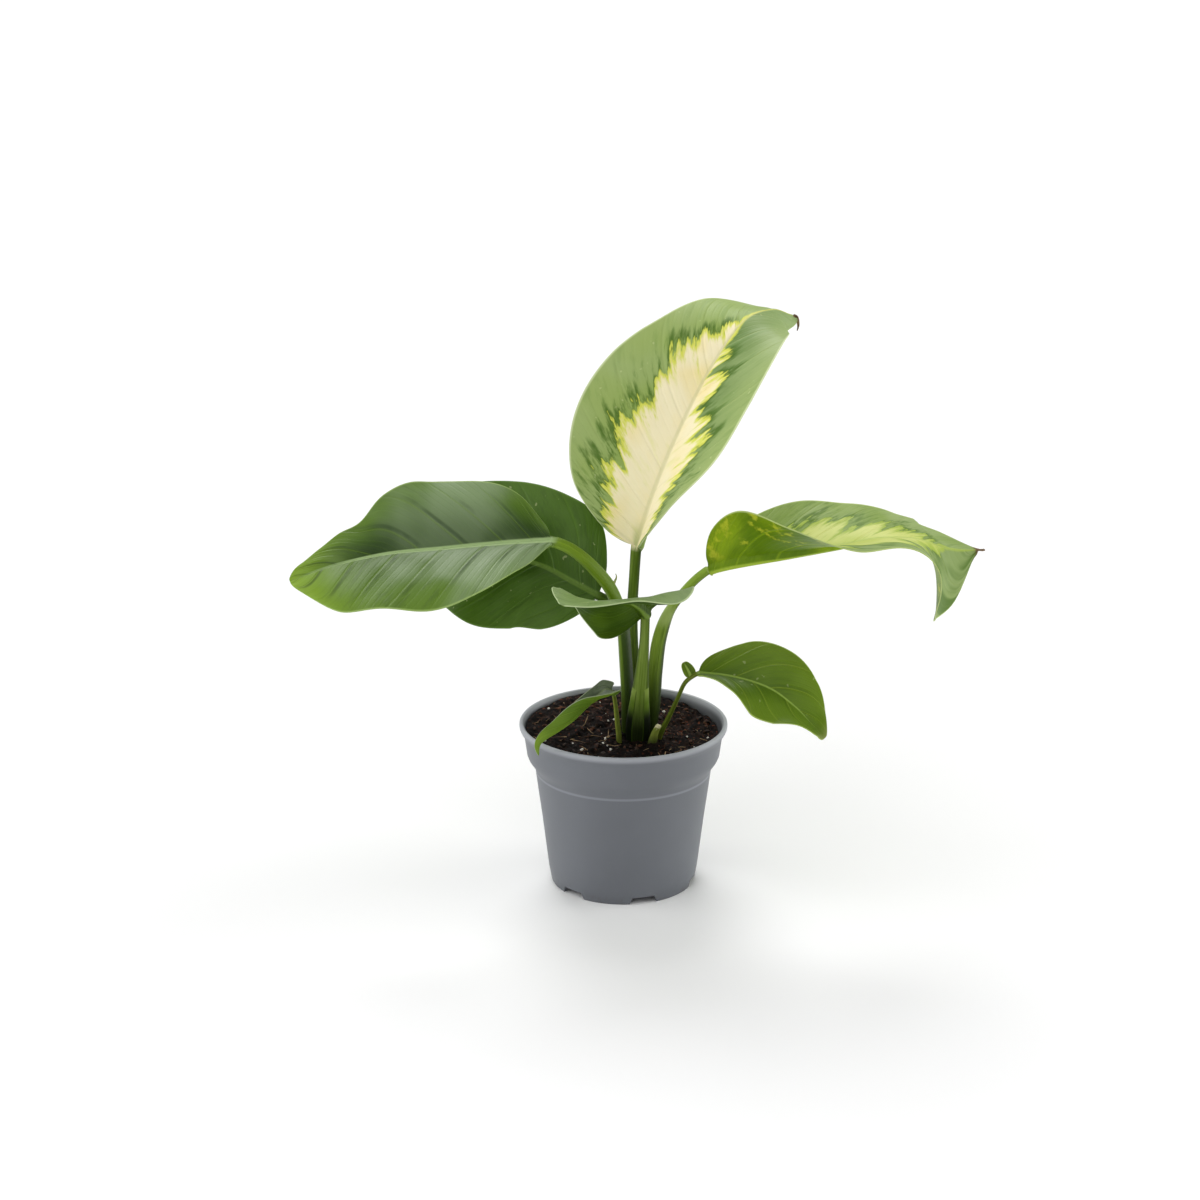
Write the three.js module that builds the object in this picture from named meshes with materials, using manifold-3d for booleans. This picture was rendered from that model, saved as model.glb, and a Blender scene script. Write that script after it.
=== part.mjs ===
// A young dieffenbachia in a nursery pot: seven leaves on one short cane, standing in peat soil.
// Millimetres, +Z up. The pot's foot rests on Z = 0 with its axis on X = Y = 0, and -Y is the front.
import * as THREE from "three";
import { mergeVertices } from "three/addons/utils/BufferGeometryUtils.js";
import Module from "manifold-3d";

const wasm = await Module();
wasm.setup();

// ---- Driving dimensions ----
const GAP = 0.3; // clearance between pieces that touch

const POT_SIDES = 60;
const POT_HEIGHT = 97;
const RIM_RADIUS = 60;
const NECK_RADIUS = 50.8; // under the shoulder
const FOOT_RADIUS = 41.8;
const POT_WALL = 1.4;
const FLOOR_UNDERSIDE = 4.6; // the floor is raised on the foot ring
const FLOOR_THICKNESS = 1.5;
const FOOT_RING = 2.2; // width of the ring that the pot stands on
const NOTCHES = 6; // in the foot ring, with a drain hole in the floor by each
const NOTCH_TURN = -74; // degrees from +X, of the notch nearest the front
const NOTCH_WIDTH = 17;
const NOTCH_HEIGHT = 4.3;
const NOTCH_SLANT = 2;
const DRAIN_RADIUS = 4;
const DRAIN_CIRCLE = 30;

const SOIL_LOW = 87.2; // at the front right
const SOIL_BANK = 8; // rise of the soil from there to the back left
const SOIL_REACH = 55;
const SOIL_SHOULDER = 86; // up to here the soil's side follows the wall
const SOIL_LEAN = 0.145; // mm out per mm up, of the soil's side above its shoulder
const SOIL_LUMP = 0.9;
const SOIL_RINGS = 10;
const SOIL_SIDES = 44;

const CANE_CENTRE = [8, 0];
const CANE_TOP = 76;
const CANE_BOTTOM = 42;
const CANE_RADIUS = 11;
const CANE_SIDES = 20;

const BLADE_THICKNESS = 0.8;
const QUILTING = 0.3; // how far the blade dips between two side veins
const VEIN_SWEEP = 1.6; // how far a side vein runs forward, in steps from one vein to the next
const STALK_ROWS = 10;
const RIB_TAPER = 0.85; // share of the rib's size that is lost from blade base to tip

// ---- The leaves ----
// stalk: its centre line from foot to blade, with its half sizes along that line, wide and thick.
// midrib: from the blade's base to its tip. face: the way the blade's upper side looks.
// left, right: half widths of the blade. leftTilt, rightTilt: degrees that each half is raised.
// leftCurl, rightCurl: degrees that a half bends from rib to margin. sweep: degrees forward.
// wave: height of the margin's waves, their number, and where they start.
// ear: a small lobe at the top of the stalk, by the same rule.
// Lists run from base to tip. The half widths and angles are at even steps of half a turn, whose
// cosine gives the place on the midrib, so that they lie closer together at the base and the tip.
const LEAVES = [
  {
    name: "leaf_crown",
    colour: 0x9fbf68,
    rows: 26,
    columns: 5,
    veins: 9,
    stalk: [[8, 5, 76.3], [8, 6, 90], [7.5, 6.5, 110], [5.5, 6.5, 138], [5, 4.5, 163], [6, 4, 184],
      [7, 4, 201]],
    wide: [2.1, 3, 3, 2.9, 2.8, 2.7, 2.8],
    thick: [1.9, 2.6, 2.6, 2.5, 2.4, 2.3, 2.4],
    midrib: [[7, 4, 201], [18, 8, 235], [33, 18, 269], [50, 32, 299], [68, 48, 321], [85, 61, 325],
      [99, 69, 319]],
    face: [[-4, -9, 3], [-4, -8, 4], [-3, -7, 6], [-2, -5, 8], [-1, -4, 9]],
    left: [3, 25, 48, 58, 55, 40, 28, 6, 0.6],
    right: [3, 10, 24, 44, 44, 37, 24, 5, 0.6],
    leftTilt: [20, 20, 20, 20, 18, 10, -15, -30, -30],
    rightTilt: [50, 50, 40, 32, 24, 10, -10, -25, -30],
    leftCurl: [8, 0],
    rightCurl: [12, 0],
    sweep: [0, 0, 0, 5, 15],
    wave: [1, 3, 0.1],
  },
  {
    name: "leaf_left",
    colour: 0x6f9a55,
    rows: 26,
    columns: 5,
    veins: 9,
    stalk: [[3.5, -0.5, 76.3], [2.5, 0, 90], [2.5, -0.5, 110], [1, -2, 138], [-1, -6, 160], [-7, -10, 179],
      [-17, -12, 193], [-29, -13, 204], [-41, -14, 210]],
    wide: [2.8, 4, 4.2, 4.3, 4.2, 4.2, 4.1, 3.6, 3],
    thick: [2.8, 3.4, 3.5, 3.5, 3.3, 3.1, 3, 2.8, 2.6],
    midrib: [[-41, -14, 210], [-69, -20, 210], [-102, -27, 209], [-132, -34, 208], [-162, -41, 203],
      [-184, -46, 196]],
    face: [[0, -6, 8], [0, -6, 8]],
    left: [3, 8, 21, 37, 45, 41, 36, 13, 0.6],
    right: [3, 11, 19, 28, 35, 40, 43, 44.5, 44, 36, 22, 19, 14, 9, 6, 3, 0.6],
    leftTilt: [8, 8],
    rightTilt: [8, 8],
    leftCurl: [-8, -8],
    rightCurl: [-12, -12],
    sweep: [0, 0],
    wave: [2, 3, 0.2],
  },
  {
    name: "leaf_behind",
    colour: 0x4d7d38,
    rows: 24,
    columns: 5,
    veins: 8,
    stalk: [[3.6, 7.6, 76.3], [2.6, 10.5, 90], [2, 12, 106], [0.5, 11, 137], [-3, 7, 157], [-8, 2, 168],
      [-15, -2, 174]],
    wide: [1.9, 3, 3.1, 3, 2.9, 2.8, 2.6],
    thick: [1.8, 2.6, 2.7, 2.6, 2.5, 2.4, 2.2],
    midrib: [[-15, -2, 174], [-31, 4, 181], [-47, 12, 187], [-71, 24, 190], [-100, 38, 191],
      [-131, 50, 187]],
    face: [[0, -8, 5], [0, -8, 5]],
    left: [2.6, 18, 34, 42, 45, 37, 27, 13, 0.6],
    right: [2.6, 20, 38, 44, 45, 40, 30, 14, 0.6],
    leftTilt: [2, 2],
    rightTilt: [2, 2],
    leftCurl: [-6, -6],
    rightCurl: [-6, -6],
    sweep: [0, 0],
    wave: [1.2, 2, 0.3],
  },
  {
    name: "leaf_front",
    colour: 0x87a070,
    rows: 22,
    columns: 5,
    veins: 6,
    stalk: [[8, -7, 76.3], [8, -9.5, 90], [9, -11.5, 112], [10.3, -15, 132], [11.5, -19.5, 152],
      [12, -22, 170]],
    wide: [4, 7, 5.2, 3.3, 2.8, 2.6],
    thick: [3, 5, 4, 2.6, 2.4, 2.2],
    midrib: [[12, -22, 170], [8, -30, 177], [3, -39, 183], [-4, -50, 187], [-13, -62, 190], [-24, -76, 193],
      [-33, -87, 195.5]],
    face: [[0, 5, 8], [0, 5, 8], [0, 2, 9], [-1, 1, 9], [-2, 0, 9]],
    left: [2.4, 10, 24, 38, 40, 30, 20, 11, 0.6],
    right: [2.4, 19, 31, 34, 31, 23, 17, 14, 3],
    leftTilt: [40, 32, 20, 8, 0, 2, 0, 0, 0],
    rightTilt: [-15, -20, -24, -24, -10, 15, 32, 40, 30],
    leftCurl: [5, 5],
    rightCurl: [14, 14, 14, 14, 10, 20, 20],
    sweep: [-45, -36, -22, -10, 0, 0, 0],
    wave: [0.8, 2, 0],
  },
  {
    name: "leaf_right",
    colour: 0x9bb55a,
    rows: 28,
    columns: 5,
    veins: 8,
    stalk: [[12.5, 0, 76.3], [15.5, 1, 90], [17, 0, 110], [18, -1, 128], [20, -3, 147], [25, -6, 164],
      [33, -9, 177], [41, -12, 187], [49, -14, 194]],
    wide: [2.8, 4.2, 4.4, 4.6, 4.9, 4.6, 3.4, 3, 2.8],
    thick: [2.8, 3.6, 3.8, 3.8, 3.8, 3.4, 2.8, 2.6, 2.5],
    midrib: [[49, -14, 194], [70, -20, 200], [95, -24, 206], [120, -26, 211], [142, -26, 215],
      [161, -24, 214],
      [177, -19, 208], [188, -13, 204], [203, -6, 202]],
    face: [[0, -1.5, 10], [0, -1.5, 10], [0, -1.5, 10], [0.5, -1, 10], [1, -1, 10]],
    left: [2.8, 20, 34, 42, 44, 42, 34, 6, 0.6],
    right: [2.8, 13, 22, 28.5, 34, 37.5, 40, 41.5, 42, 42, 42, 42.5, 42, 33, 6, 1, 0.6],
    leftTilt: [30, 28, 22, 16, 4, -2, 4, 0, -5],
    rightTilt: [60, 82, 78, 45, 20, 8, -75, -85, -60],
    leftCurl: [0, 0],
    rightCurl: [20, 20, 10, 0, -4, -6, -10],
    sweep: [-10, 0, 0, 0, 0],
    wave: [0.8, 2, 0.4],
  },
  {
    name: "leaf_low_right",
    colour: 0x6f9f34,
    rows: 20,
    columns: 4,
    veins: 6,
    stalk: [[19, -10, 72], [19.5, -10, 88], [26, -14, 105], [30.5, -20, 118], [34, -24, 128],
      [37.5, -27, 133],
      [42, -30, 137]],
    wide: [2, 2.4, 1.8, 1.4, 1.3, 1.3, 1.4],
    thick: [2, 2.2, 1.6, 1.3, 1.2, 1.2, 1.2],
    midrib: [[42, -30, 137], [60, -36, 137], [80, -43, 133], [94, -50, 125], [104, -56, 116],
      [111, -60, 109]],
    face: [[0, -7, 7], [0, -7, 7], [2, -7, 6]],
    left: [1.4, 9, 16, 24, 25, 20, 12, 5, 0.6],
    right: [1.4, 5, 8, 19, 25, 20, 11, 5, 0.6],
    leftTilt: [5, 5],
    rightTilt: [50, 48, 40, 38, 22, 20, 40, 40, 40],
    leftCurl: [-8, -8],
    rightCurl: [6, 6],
    sweep: [0, 0],
    wave: [0.8, 2, 0.2],
    ear: {
      rows: 8,
      columns: 3,
      veins: 2,
      stalk: [[38.2, -27.6, 132.6], [37.9, -27.7, 133.4], [37.6, -27.8, 134.2]],
      wide: [0.8, 0.9, 1],
      thick: [0.6, 0.6, 0.6],
      midrib: [[37.6, -27.8, 134.2], [36, -27.8, 137.8], [33.6, -27.5, 142.4]],
      face: [[0, -9, 3], [0, -9, 3]],
      left: [1.3, 2.8, 3, 2.2, 0.6],
      right: [1.3, 3.6, 3.6, 2.4, 0.6],
      leftTilt: [10, 10],
      rightTilt: [10, 10],
      leftCurl: [0, 0],
      rightCurl: [0, 0],
      sweep: [0, 0],
      wave: [0, 1, 0],
    },
  },
  {
    name: "leaf_low_left",
    colour: 0x6d9440,
    rows: 20,
    columns: 4,
    veins: 6,
    stalk: [[-3, -13, 72], [-2.5, -13, 90], [-3.5, -13, 101], [-4.5, -14, 111], [-5.5, -15.5, 118],
      [-7, -18, 122]],
    wide: [1.9, 2, 1.9, 1.8, 1.5, 1.3],
    thick: [1.7, 1.7, 1.6, 1.4, 1.2, 1.1],
    midrib: [[-7, -18, 122], [-10, -21, 124], [-15, -27, 122], [-22, -32, 117], [-29, -37, 111],
      [-37, -41, 106],
      [-43, -44, 103], [-47, -46.5, 100], [-48, -47, 94]],
    face: [[-3, -6, 7], [-5, -3, 8], [-6, 0, 8], [-8, 0, 6], [-9, 0, 3]],
    left: [1.3, 5, 12, 14, 11, 8, 6, 3, 0.6],
    right: [1.3, 7, 6, 6, 6.5, 6.5, 5, 3, 0.6],
    leftTilt: [0, -5, 5, 35, 60, 64, 60, 50, 50],
    rightTilt: [10, 20, 40, 60, 66, 66, 60, 50, 50],
    leftCurl: [10, 30, 30],
    rightCurl: [10, 30, 30],
    sweep: [-40, -20, 0, 0, 0],
    wave: [0.6, 2, 0],
  },
];

// ---- Curves and lists ----

// The value at a share of the way along a list of numbers, as a smooth curve through all of them.
function along(list, share) {
  const last = list.length - 1;
  const place = THREE.MathUtils.clamp(share, 0, 1) * last;
  const i = Math.min(Math.floor(place), last - 1);
  const f = place - i;
  const a = list[i];
  const b = list[i + 1];
  const startSlope = (b - (list[i - 1] ?? 2 * a - b)) / 2;
  const endSlope = ((list[i + 2] ?? 2 * b - a) - a) / 2;
  const cubic = 2 * a - 2 * b + startSlope + endSlope;
  const square = 3 * b - 3 * a - 2 * startSlope - endSlope;
  return ((cubic * f + square) * f + startSlope) * f + a;
}

const alongPoints = (points, share) =>
  new THREE.Vector3(...[0, 1, 2].map((axis) => along(points.map((point) => point[axis]), share)));

const curveThrough = (points) =>
  new THREE.CatmullRomCurve3(points.map((point) => new THREE.Vector3(...point)), false, "catmullrom", 0.5);

// ---- Solids ----

// A closed solid through rows of points that all have the same number. Each row goes round the
// solid; from the point number `turn` on, the faces are split along their other diagonal.
function loft(rows, turn = Infinity) {
  const count = rows[0].length;
  const faces = [];
  for (let row = 0; row < rows.length - 1; row += 1) {
    for (let k = 0; k < count; k += 1) {
      const a = row * count + k;
      const b = row * count + ((k + 1) % count);
      const c = b + count;
      const d = a + count;
      faces.push(...(k < turn ? [a, b, c, a, c, d] : [a, b, d, b, c, d]));
    }
  }
  const end = (rows.length - 1) * count;
  for (let k = 0; k < count / 2 - 1; k += 1) {
    const [a, b, c, d] = [k, k + 1, count - 2 - k, count - 1 - k];
    faces.push(a, d, b, end + a, end + b, end + d);
    if (c !== b) faces.push(b, d, c, end + b, end + c, end + d);
  }
  const geometry = new THREE.BufferGeometry();
  const places = rows.flat().flatMap((point) => point.toArray());
  geometry.setAttribute("position", new THREE.Float32BufferAttribute(places, 3));
  geometry.setIndex(faces);
  return geometry;
}

function toManifold(geometry) {
  const bare = geometry.clone();
  bare.deleteAttribute("normal");
  bare.deleteAttribute("uv");
  const merged = mergeVertices(bare, 1e-3);
  return new wasm.Manifold(
    new wasm.Mesh({
      numProp: 3,
      vertProperties: new Float32Array(merged.attributes.position.array),
      triVerts: new Uint32Array(merged.index.array),
    }),
  );
}

function toGeometry(solid) {
  const { vertProperties, triVerts } = solid.getMesh();
  const geometry = new THREE.BufferGeometry();
  geometry.setAttribute("position", new THREE.BufferAttribute(vertProperties, 3));
  geometry.setIndex(new THREE.BufferAttribute(triVerts, 1));
  return geometry;
}

function named(name, geometry, colour, roughness) {
  const material = new THREE.MeshStandardMaterial({ color: colour, roughness, metalness: 0 });
  const mesh = new THREE.Mesh(geometry, material);
  mesh.name = name;
  return mesh;
}

// ---- Leaves ----

// Places on the way from rib to margin, as distances from the rib in the blade's own plane.
function columnsOf(columns, halfWidth, ribRadius) {
  const rib = Math.min(Math.max(ribRadius, 1.5 * BLADE_THICKNESS), halfWidth * 0.5);
  const rest = Array.from({ length: columns - 1 }, (_, k) => (k + 1) / (columns - 1));
  return [0, rib, ...rest.map((share) => rib + (halfWidth - rib) * share)];
}

// The blade's axes at a share of its midrib: forward, across toward its right half, and up.
function bladeAxes(leaf, midrib, share) {
  const forward = midrib.getTangentAt(share);
  const up = alongPoints(leaf.face, share);
  up.addScaledVector(forward, -up.dot(forward)).normalize();
  return { forward, up, across: new THREE.Vector3().crossVectors(forward, up) };
}

// One half of a blade's row: its mid surface points and normals from the rib outward.
function halfRow(leaf, side, turn, origin, axes, ribRadius) {
  const sign = side === "right" ? 1 : -1;
  const halfWidth = Math.max(along(leaf[side], turn), 0.5);
  const flat = Math.min(halfWidth / 5, 1); // the blade is flat where it is as narrow as the stalk
  const tilt = THREE.MathUtils.degToRad(along(leaf[side + "Tilt"], turn)) * flat;
  const curl = THREE.MathUtils.degToRad(along(leaf[side + "Curl"], turn)) * flat;
  const sweep = THREE.MathUtils.degToRad(along(leaf.sweep, turn));
  const [waveHeight, waves, waveStart] = leaf.wave;
  const out = axes.across.clone().multiplyScalar(sign * Math.cos(sweep));
  out.addScaledVector(axes.forward, Math.sin(sweep));
  return columnsOf(leaf.columns, halfWidth, ribRadius).map((distance) => {
    const share = distance / halfWidth;
    const middleAngle = tilt - curl + curl * share; // of the chord from the rib to this point
    const bend = curl * share;
    const chord = Math.abs(bend) > 1e-4 ? (distance * Math.sin(bend)) / bend : distance;
    const waveTurn = waves * turn + waveStart + (sign > 0 ? 0.3 : 0);
    const wave = waveHeight * share ** 2 * Math.sin(2 * Math.PI * waveTurn);
    const veinTurn = leaf.veins * turn - VEIN_SWEEP * share;
    const quilt = QUILTING * share * (1 - share) * 4 * Math.sin(2 * Math.PI * veinTurn);
    const relief = (wave + quilt) * Math.min(halfWidth / 15, 1);
    const point = origin.clone().addScaledVector(out, chord * Math.cos(middleAngle));
    point.addScaledVector(axes.up, chord * Math.sin(middleAngle) + relief);
    const angle = tilt - curl + 2 * curl * share;
    const normal = out.clone().multiplyScalar(-Math.sin(angle)).addScaledVector(axes.up, Math.cos(angle));
    return { point, normal };
  });
}

// A closed row of points round the blade: over its upper side from left to right, and back below.
function bladeRow(leaf, midrib, turn) {
  const share = (1 - Math.cos(Math.PI * turn)) / 2;
  const axes = bladeAxes(leaf, midrib, share);
  const origin = midrib.getPointAt(share);
  const ribRadius = leaf.thick.at(-1) * (1 - RIB_TAPER * share);
  const left = halfRow(leaf, "left", turn, origin, axes, ribRadius);
  const right = halfRow(leaf, "right", turn, origin, axes, ribRadius);
  const row = [...left.slice(1).reverse(), { point: origin, normal: axes.up }, ...right.slice(1)];
  const middle = leaf.columns;
  const upper = row.map(({ point, normal }) => point.clone().addScaledVector(normal, BLADE_THICKNESS / 2));
  const lower = row.map(({ point, normal }, k) => {
    const rib = k === middle ? Math.max(2 * ribRadius - BLADE_THICKNESS, 0) : 0;
    return point.clone().addScaledVector(normal, -BLADE_THICKNESS / 2 - rib);
  });
  return [...upper, ...lower.reverse()];
}

// The stalk's rows: ovals from the foot up, turned so that the last one meets the blade's base.
// The foot is cut level.
function stalkRows(leaf, midrib, grow) {
  const path = curveThrough(leaf.stalk);
  const pointsInRow = 2 * (2 * leaf.columns + 1);
  let up = bladeAxes(leaf, midrib, 0).up;
  const rows = [];
  for (let k = STALK_ROWS - 1; k >= 0; k -= 1) {
    const share = k / STALK_ROWS;
    const forward = path.getTangentAt(share);
    up = up.clone().addScaledVector(forward, -up.dot(forward)).normalize();
    const across = new THREE.Vector3().crossVectors(forward, up);
    const place = path.getPointAt(share);
    const wide = along(leaf.wide, share) + grow;
    const thick = along(leaf.thick, share) + grow;
    const row = Array.from({ length: pointsInRow }, (_, n) => {
      const angle = Math.PI - (2 * Math.PI * (n + 0.5)) / pointsInRow;
      return place
        .clone()
        .addScaledVector(across, wide * Math.cos(angle))
        .addScaledVector(up, thick * Math.sin(angle));
    });
    if (k === 0) {
      const level = place.z - grow;
      row.forEach((point) => point.addScaledVector(forward, (level - point.z) / forward.z));
    }
    rows.unshift(row);
  }
  return rows;
}

function leafGeometry(leaf) {
  const midrib = curveThrough(leaf.midrib);
  const blade = Array.from({ length: leaf.rows + 1 }, (_, k) => bladeRow(leaf, midrib, k / leaf.rows));
  return loft([...stalkRows(leaf, midrib, 0), ...blade], 2 * leaf.columns + 1);
}

// ---- Pot ----

// The pot's outer half profile above the foot, as [radius, height].
const OUTSIDE = [
  [FOOT_RADIUS, 0],
  [FOOT_RADIUS + 1.6, 9],
  [NECK_RADIUS, 68],
  [NECK_RADIUS + 0.7, 71],
  [NECK_RADIUS + 4, 76],
  [RIM_RADIUS - 4, 80.5],
  [RIM_RADIUS - 2.8, 90],
  [RIM_RADIUS - 1.4, 92],
  [RIM_RADIUS - 0.2, 94],
  [RIM_RADIUS, POT_HEIGHT - 1.4],
  [RIM_RADIUS - 0.5, POT_HEIGHT - 0.3],
  [RIM_RADIUS - 1.3, POT_HEIGHT],
];

// The inner half profile, from the rim down to the floor.
const INSIDE = [
  [RIM_RADIUS - 2.2, POT_HEIGHT - 0.4],
  [RIM_RADIUS - 2.7, POT_HEIGHT - 1.8],
  [RIM_RADIUS - 4.2, 90],
  [RIM_RADIUS - 5.4, 80.5],
  [NECK_RADIUS + 4 - POT_WALL, 77],
  [NECK_RADIUS - POT_WALL, 70.5],
  [FOOT_RADIUS + 1.1 - POT_WALL, FLOOR_UNDERSIDE + FLOOR_THICKNESS],
];

function potGeometry() {
  const ringInside = FOOT_RADIUS - FOOT_RING;
  const profile = [
    [0, FLOOR_UNDERSIDE],
    [ringInside, FLOOR_UNDERSIDE],
    [ringInside, 0],
    ...OUTSIDE,
    ...INSIDE,
    [0, FLOOR_UNDERSIDE + FLOOR_THICKNESS],
  ];
  const points = profile.map(([radius, height]) => new THREE.Vector2(radius, height));
  const lathe = new THREE.LatheGeometry(points, POT_SIDES).rotateX(Math.PI / 2);
  let pot = toManifold(lathe);
  const notchShape = new THREE.Shape([
    new THREE.Vector2(-NOTCH_WIDTH / 2, -1),
    new THREE.Vector2(NOTCH_WIDTH / 2, -1),
    new THREE.Vector2(NOTCH_WIDTH / 2 - NOTCH_SLANT, NOTCH_HEIGHT),
    new THREE.Vector2(-NOTCH_WIDTH / 2 + NOTCH_SLANT, NOTCH_HEIGHT),
  ]);
  const reach = 4 * FOOT_RING;
  const drainHeight = 4 * FLOOR_THICKNESS;
  for (let k = 0; k < NOTCHES; k += 1) {
    const turn = THREE.MathUtils.degToRad(NOTCH_TURN + (360 * k) / NOTCHES);
    const notch = new THREE.ExtrudeGeometry(notchShape, { depth: reach, bevelEnabled: false });
    notch.translate(0, 0, -reach / 2).rotateX(Math.PI / 2).rotateZ(Math.PI / 2);
    notch.translate(FOOT_RADIUS - FOOT_RING / 2, 0, 0).rotateZ(turn);
    const drain = new THREE.CylinderGeometry(DRAIN_RADIUS, DRAIN_RADIUS, drainHeight, 16);
    drain.rotateX(Math.PI / 2).translate(DRAIN_CIRCLE, 0, FLOOR_UNDERSIDE).rotateZ(turn);
    pot = pot.subtract(toManifold(notch)).subtract(toManifold(drain));
  }
  return toGeometry(pot);
}

// ---- Soil ----

// The radius of the pot's inner wall at a height.
function innerRadius(height) {
  for (let k = 0; k < INSIDE.length - 1; k += 1) {
    const [upperRadius, upperHeight] = INSIDE[k];
    const [lowerRadius, lowerHeight] = INSIDE[k + 1];
    if (height <= upperHeight && height >= lowerHeight) {
      const share = (height - lowerHeight) / (upperHeight - lowerHeight);
      return lowerRadius + (upperRadius - lowerRadius) * share;
    }
  }
  return INSIDE.at(-1)[0];
}

// The soil's surface: banked up to the back left, with lumps of two sizes.
function soilHeight(x, y) {
  const backLeft = (0.85 * y - 0.53 * x) / SOIL_REACH;
  const lumps = Math.sin(x * 0.21 + 1) * Math.cos(y * 0.19) + 0.6 * Math.sin(x * 0.47 - y * 0.36);
  return SOIL_LOW + SOIL_BANK * Math.max((backLeft + 1) / 2, 0) ** 1.3 + SOIL_LUMP * lumps;
}

function soilGeometry(leaves) {
  const bottom = FLOOR_UNDERSIDE + FLOOR_THICKNESS + GAP;
  const clearance = GAP + 0.1; // the wall and the soil are both cut into flat sides
  const ring = (radiusAt, heightAt) =>
    Array.from({ length: SOIL_SIDES }, (_, k) => {
      const turn = (2 * Math.PI * k) / SOIL_SIDES;
      const radius = radiusAt(turn);
      const x = radius * Math.cos(turn);
      const y = radius * Math.sin(turn);
      return new THREE.Vector3(x, y, heightAt(x, y));
    });
  const wall = (height) => innerRadius(height) - clearance;
  const edge = (turn) => {
    const rise = soilHeight(SOIL_REACH * Math.cos(turn), SOIL_REACH * Math.sin(turn)) - SOIL_SHOULDER;
    return wall(SOIL_SHOULDER) + SOIL_LEAN * rise;
  };
  const sides = [bottom, 70.5, 77, 80.5, SOIL_SHOULDER].map((height) => ring(() => wall(height), () => height));
  const top = Array.from({ length: SOIL_RINGS }, (_, k) =>
    ring((turn) => edge(turn) * (1 - k / SOIL_RINGS), soilHeight),
  );
  let soil = toManifold(loft([...sides, ...top]));
  for (const leaf of leaves) {
    const hole = loft(stalkRows(leaf, curveThrough(leaf.midrib), GAP + 0.1));
    soil = soil.subtract(toManifold(hole));
  }
  const bodies = soil.subtract(toManifold(caneGeometry(GAP))).decompose();
  bodies.sort((one, other) => other.volume() - one.volume());
  return toGeometry(bodies[0]); // without the scraps between the stalks
}

// ---- Cane ----

// The short rootstock that the leaf stalks stand on, under the soil.
function caneGeometry(grow) {
  const height = CANE_TOP - CANE_BOTTOM;
  const rows = [0, 0.08, 0.3, 0.7, 1].map((share) => {
    const radius = CANE_RADIUS * (0.55 + 0.45 * Math.sqrt(share)) + grow;
    const lift = share === 1 ? grow : 0;
    return Array.from({ length: CANE_SIDES }, (_, k) => {
      const turn = (2 * Math.PI * k) / CANE_SIDES;
      return new THREE.Vector3(
        CANE_CENTRE[0] + radius * Math.cos(turn),
        CANE_CENTRE[1] + radius * Math.sin(turn),
        CANE_BOTTOM + height * share + lift - (share === 0 ? grow : 0),
      );
    });
  });
  return loft(rows);
}

// ---- The whole plant ----
const plant = new THREE.Group();
plant.add(named("pot", potGeometry(), 0x8d9299, 0.55));
plant.add(named("soil", soilGeometry(LEAVES), 0x2b1c16, 0.95));
plant.add(named("cane", caneGeometry(0), 0x7d7a4a, 0.8));
for (const leaf of LEAVES) {
  let grown = toManifold(leafGeometry(leaf));
  if (leaf.ear) grown = grown.add(toManifold(leafGeometry(leaf.ear)));
  plant.add(named(leaf.name, toGeometry(grown), leaf.colour, 0.45));
}

export default plant;
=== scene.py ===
# %% [markdown]
# # A young dieffenbachia in a nursery pot
# Seven leaves, each grown in one piece with its stalk, stand on a short rootstock in peat soil, and the
# soil fills a moulded plastic pot. The solids of the CAD model give every piece its place and its room.
# Here each of them gets its fine surface and its finish. The shapes and the marks on the skins are in
# millimetres, and the places and heights in the finishes, the light and the camera in metres.

# %% Load the frame
import math
import random
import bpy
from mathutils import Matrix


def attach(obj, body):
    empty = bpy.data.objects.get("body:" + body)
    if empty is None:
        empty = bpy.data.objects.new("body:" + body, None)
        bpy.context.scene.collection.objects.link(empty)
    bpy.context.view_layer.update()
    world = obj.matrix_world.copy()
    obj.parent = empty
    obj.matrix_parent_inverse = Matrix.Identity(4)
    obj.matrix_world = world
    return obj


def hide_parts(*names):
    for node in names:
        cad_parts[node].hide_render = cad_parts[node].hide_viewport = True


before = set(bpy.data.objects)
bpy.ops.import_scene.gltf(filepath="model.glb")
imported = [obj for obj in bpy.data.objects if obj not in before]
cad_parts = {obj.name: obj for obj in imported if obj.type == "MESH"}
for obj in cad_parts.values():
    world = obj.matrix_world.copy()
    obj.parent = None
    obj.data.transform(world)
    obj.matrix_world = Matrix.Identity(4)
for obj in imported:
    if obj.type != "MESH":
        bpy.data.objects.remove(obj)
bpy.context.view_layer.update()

from types import SimpleNamespace

import bpy
from mathutils import Vector, noise

MM = 0.001
random.seed(11)

# %% [markdown]
# ## Working with one piece at a time
# Blender's operators act on everything that is selected, so each piece starts with nothing selected.
# A primitive is added, its points are put where they belong, and the edit mode operators then close
# and clean the surface. A finished piece keeps its object at the origin, as the CAD nodes do.


# %% Start, edit and finish a piece
def start():
    bpy.ops.object.select_all(action="DESELECT")


def edit(*steps):
    """Runs operators on all points of the active piece in edit mode."""
    bpy.ops.object.mode_set(mode="EDIT")
    bpy.ops.mesh.select_all(action="SELECT")
    for step in steps:
        step()
    bpy.ops.object.mode_set(mode="OBJECT")


def merge_points():
    bpy.ops.mesh.remove_doubles(threshold=2e-6)


def drop_loose():
    bpy.ops.mesh.delete_loose()
    bpy.ops.mesh.select_all(action="SELECT")


def face_outwards():
    bpy.ops.mesh.normals_make_consistent(inside=False)


def finish_piece(name, angle=40):
    piece = bpy.context.object
    piece.name = piece.data.name = name
    start()
    piece.select_set(True)
    bpy.ops.object.transform_apply(location=True, rotation=True, scale=True)
    bpy.ops.object.shade_smooth_by_angle(angle=math.radians(angle))
    print(name, len(piece.data.polygons), "faces")
    return piece


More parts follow.
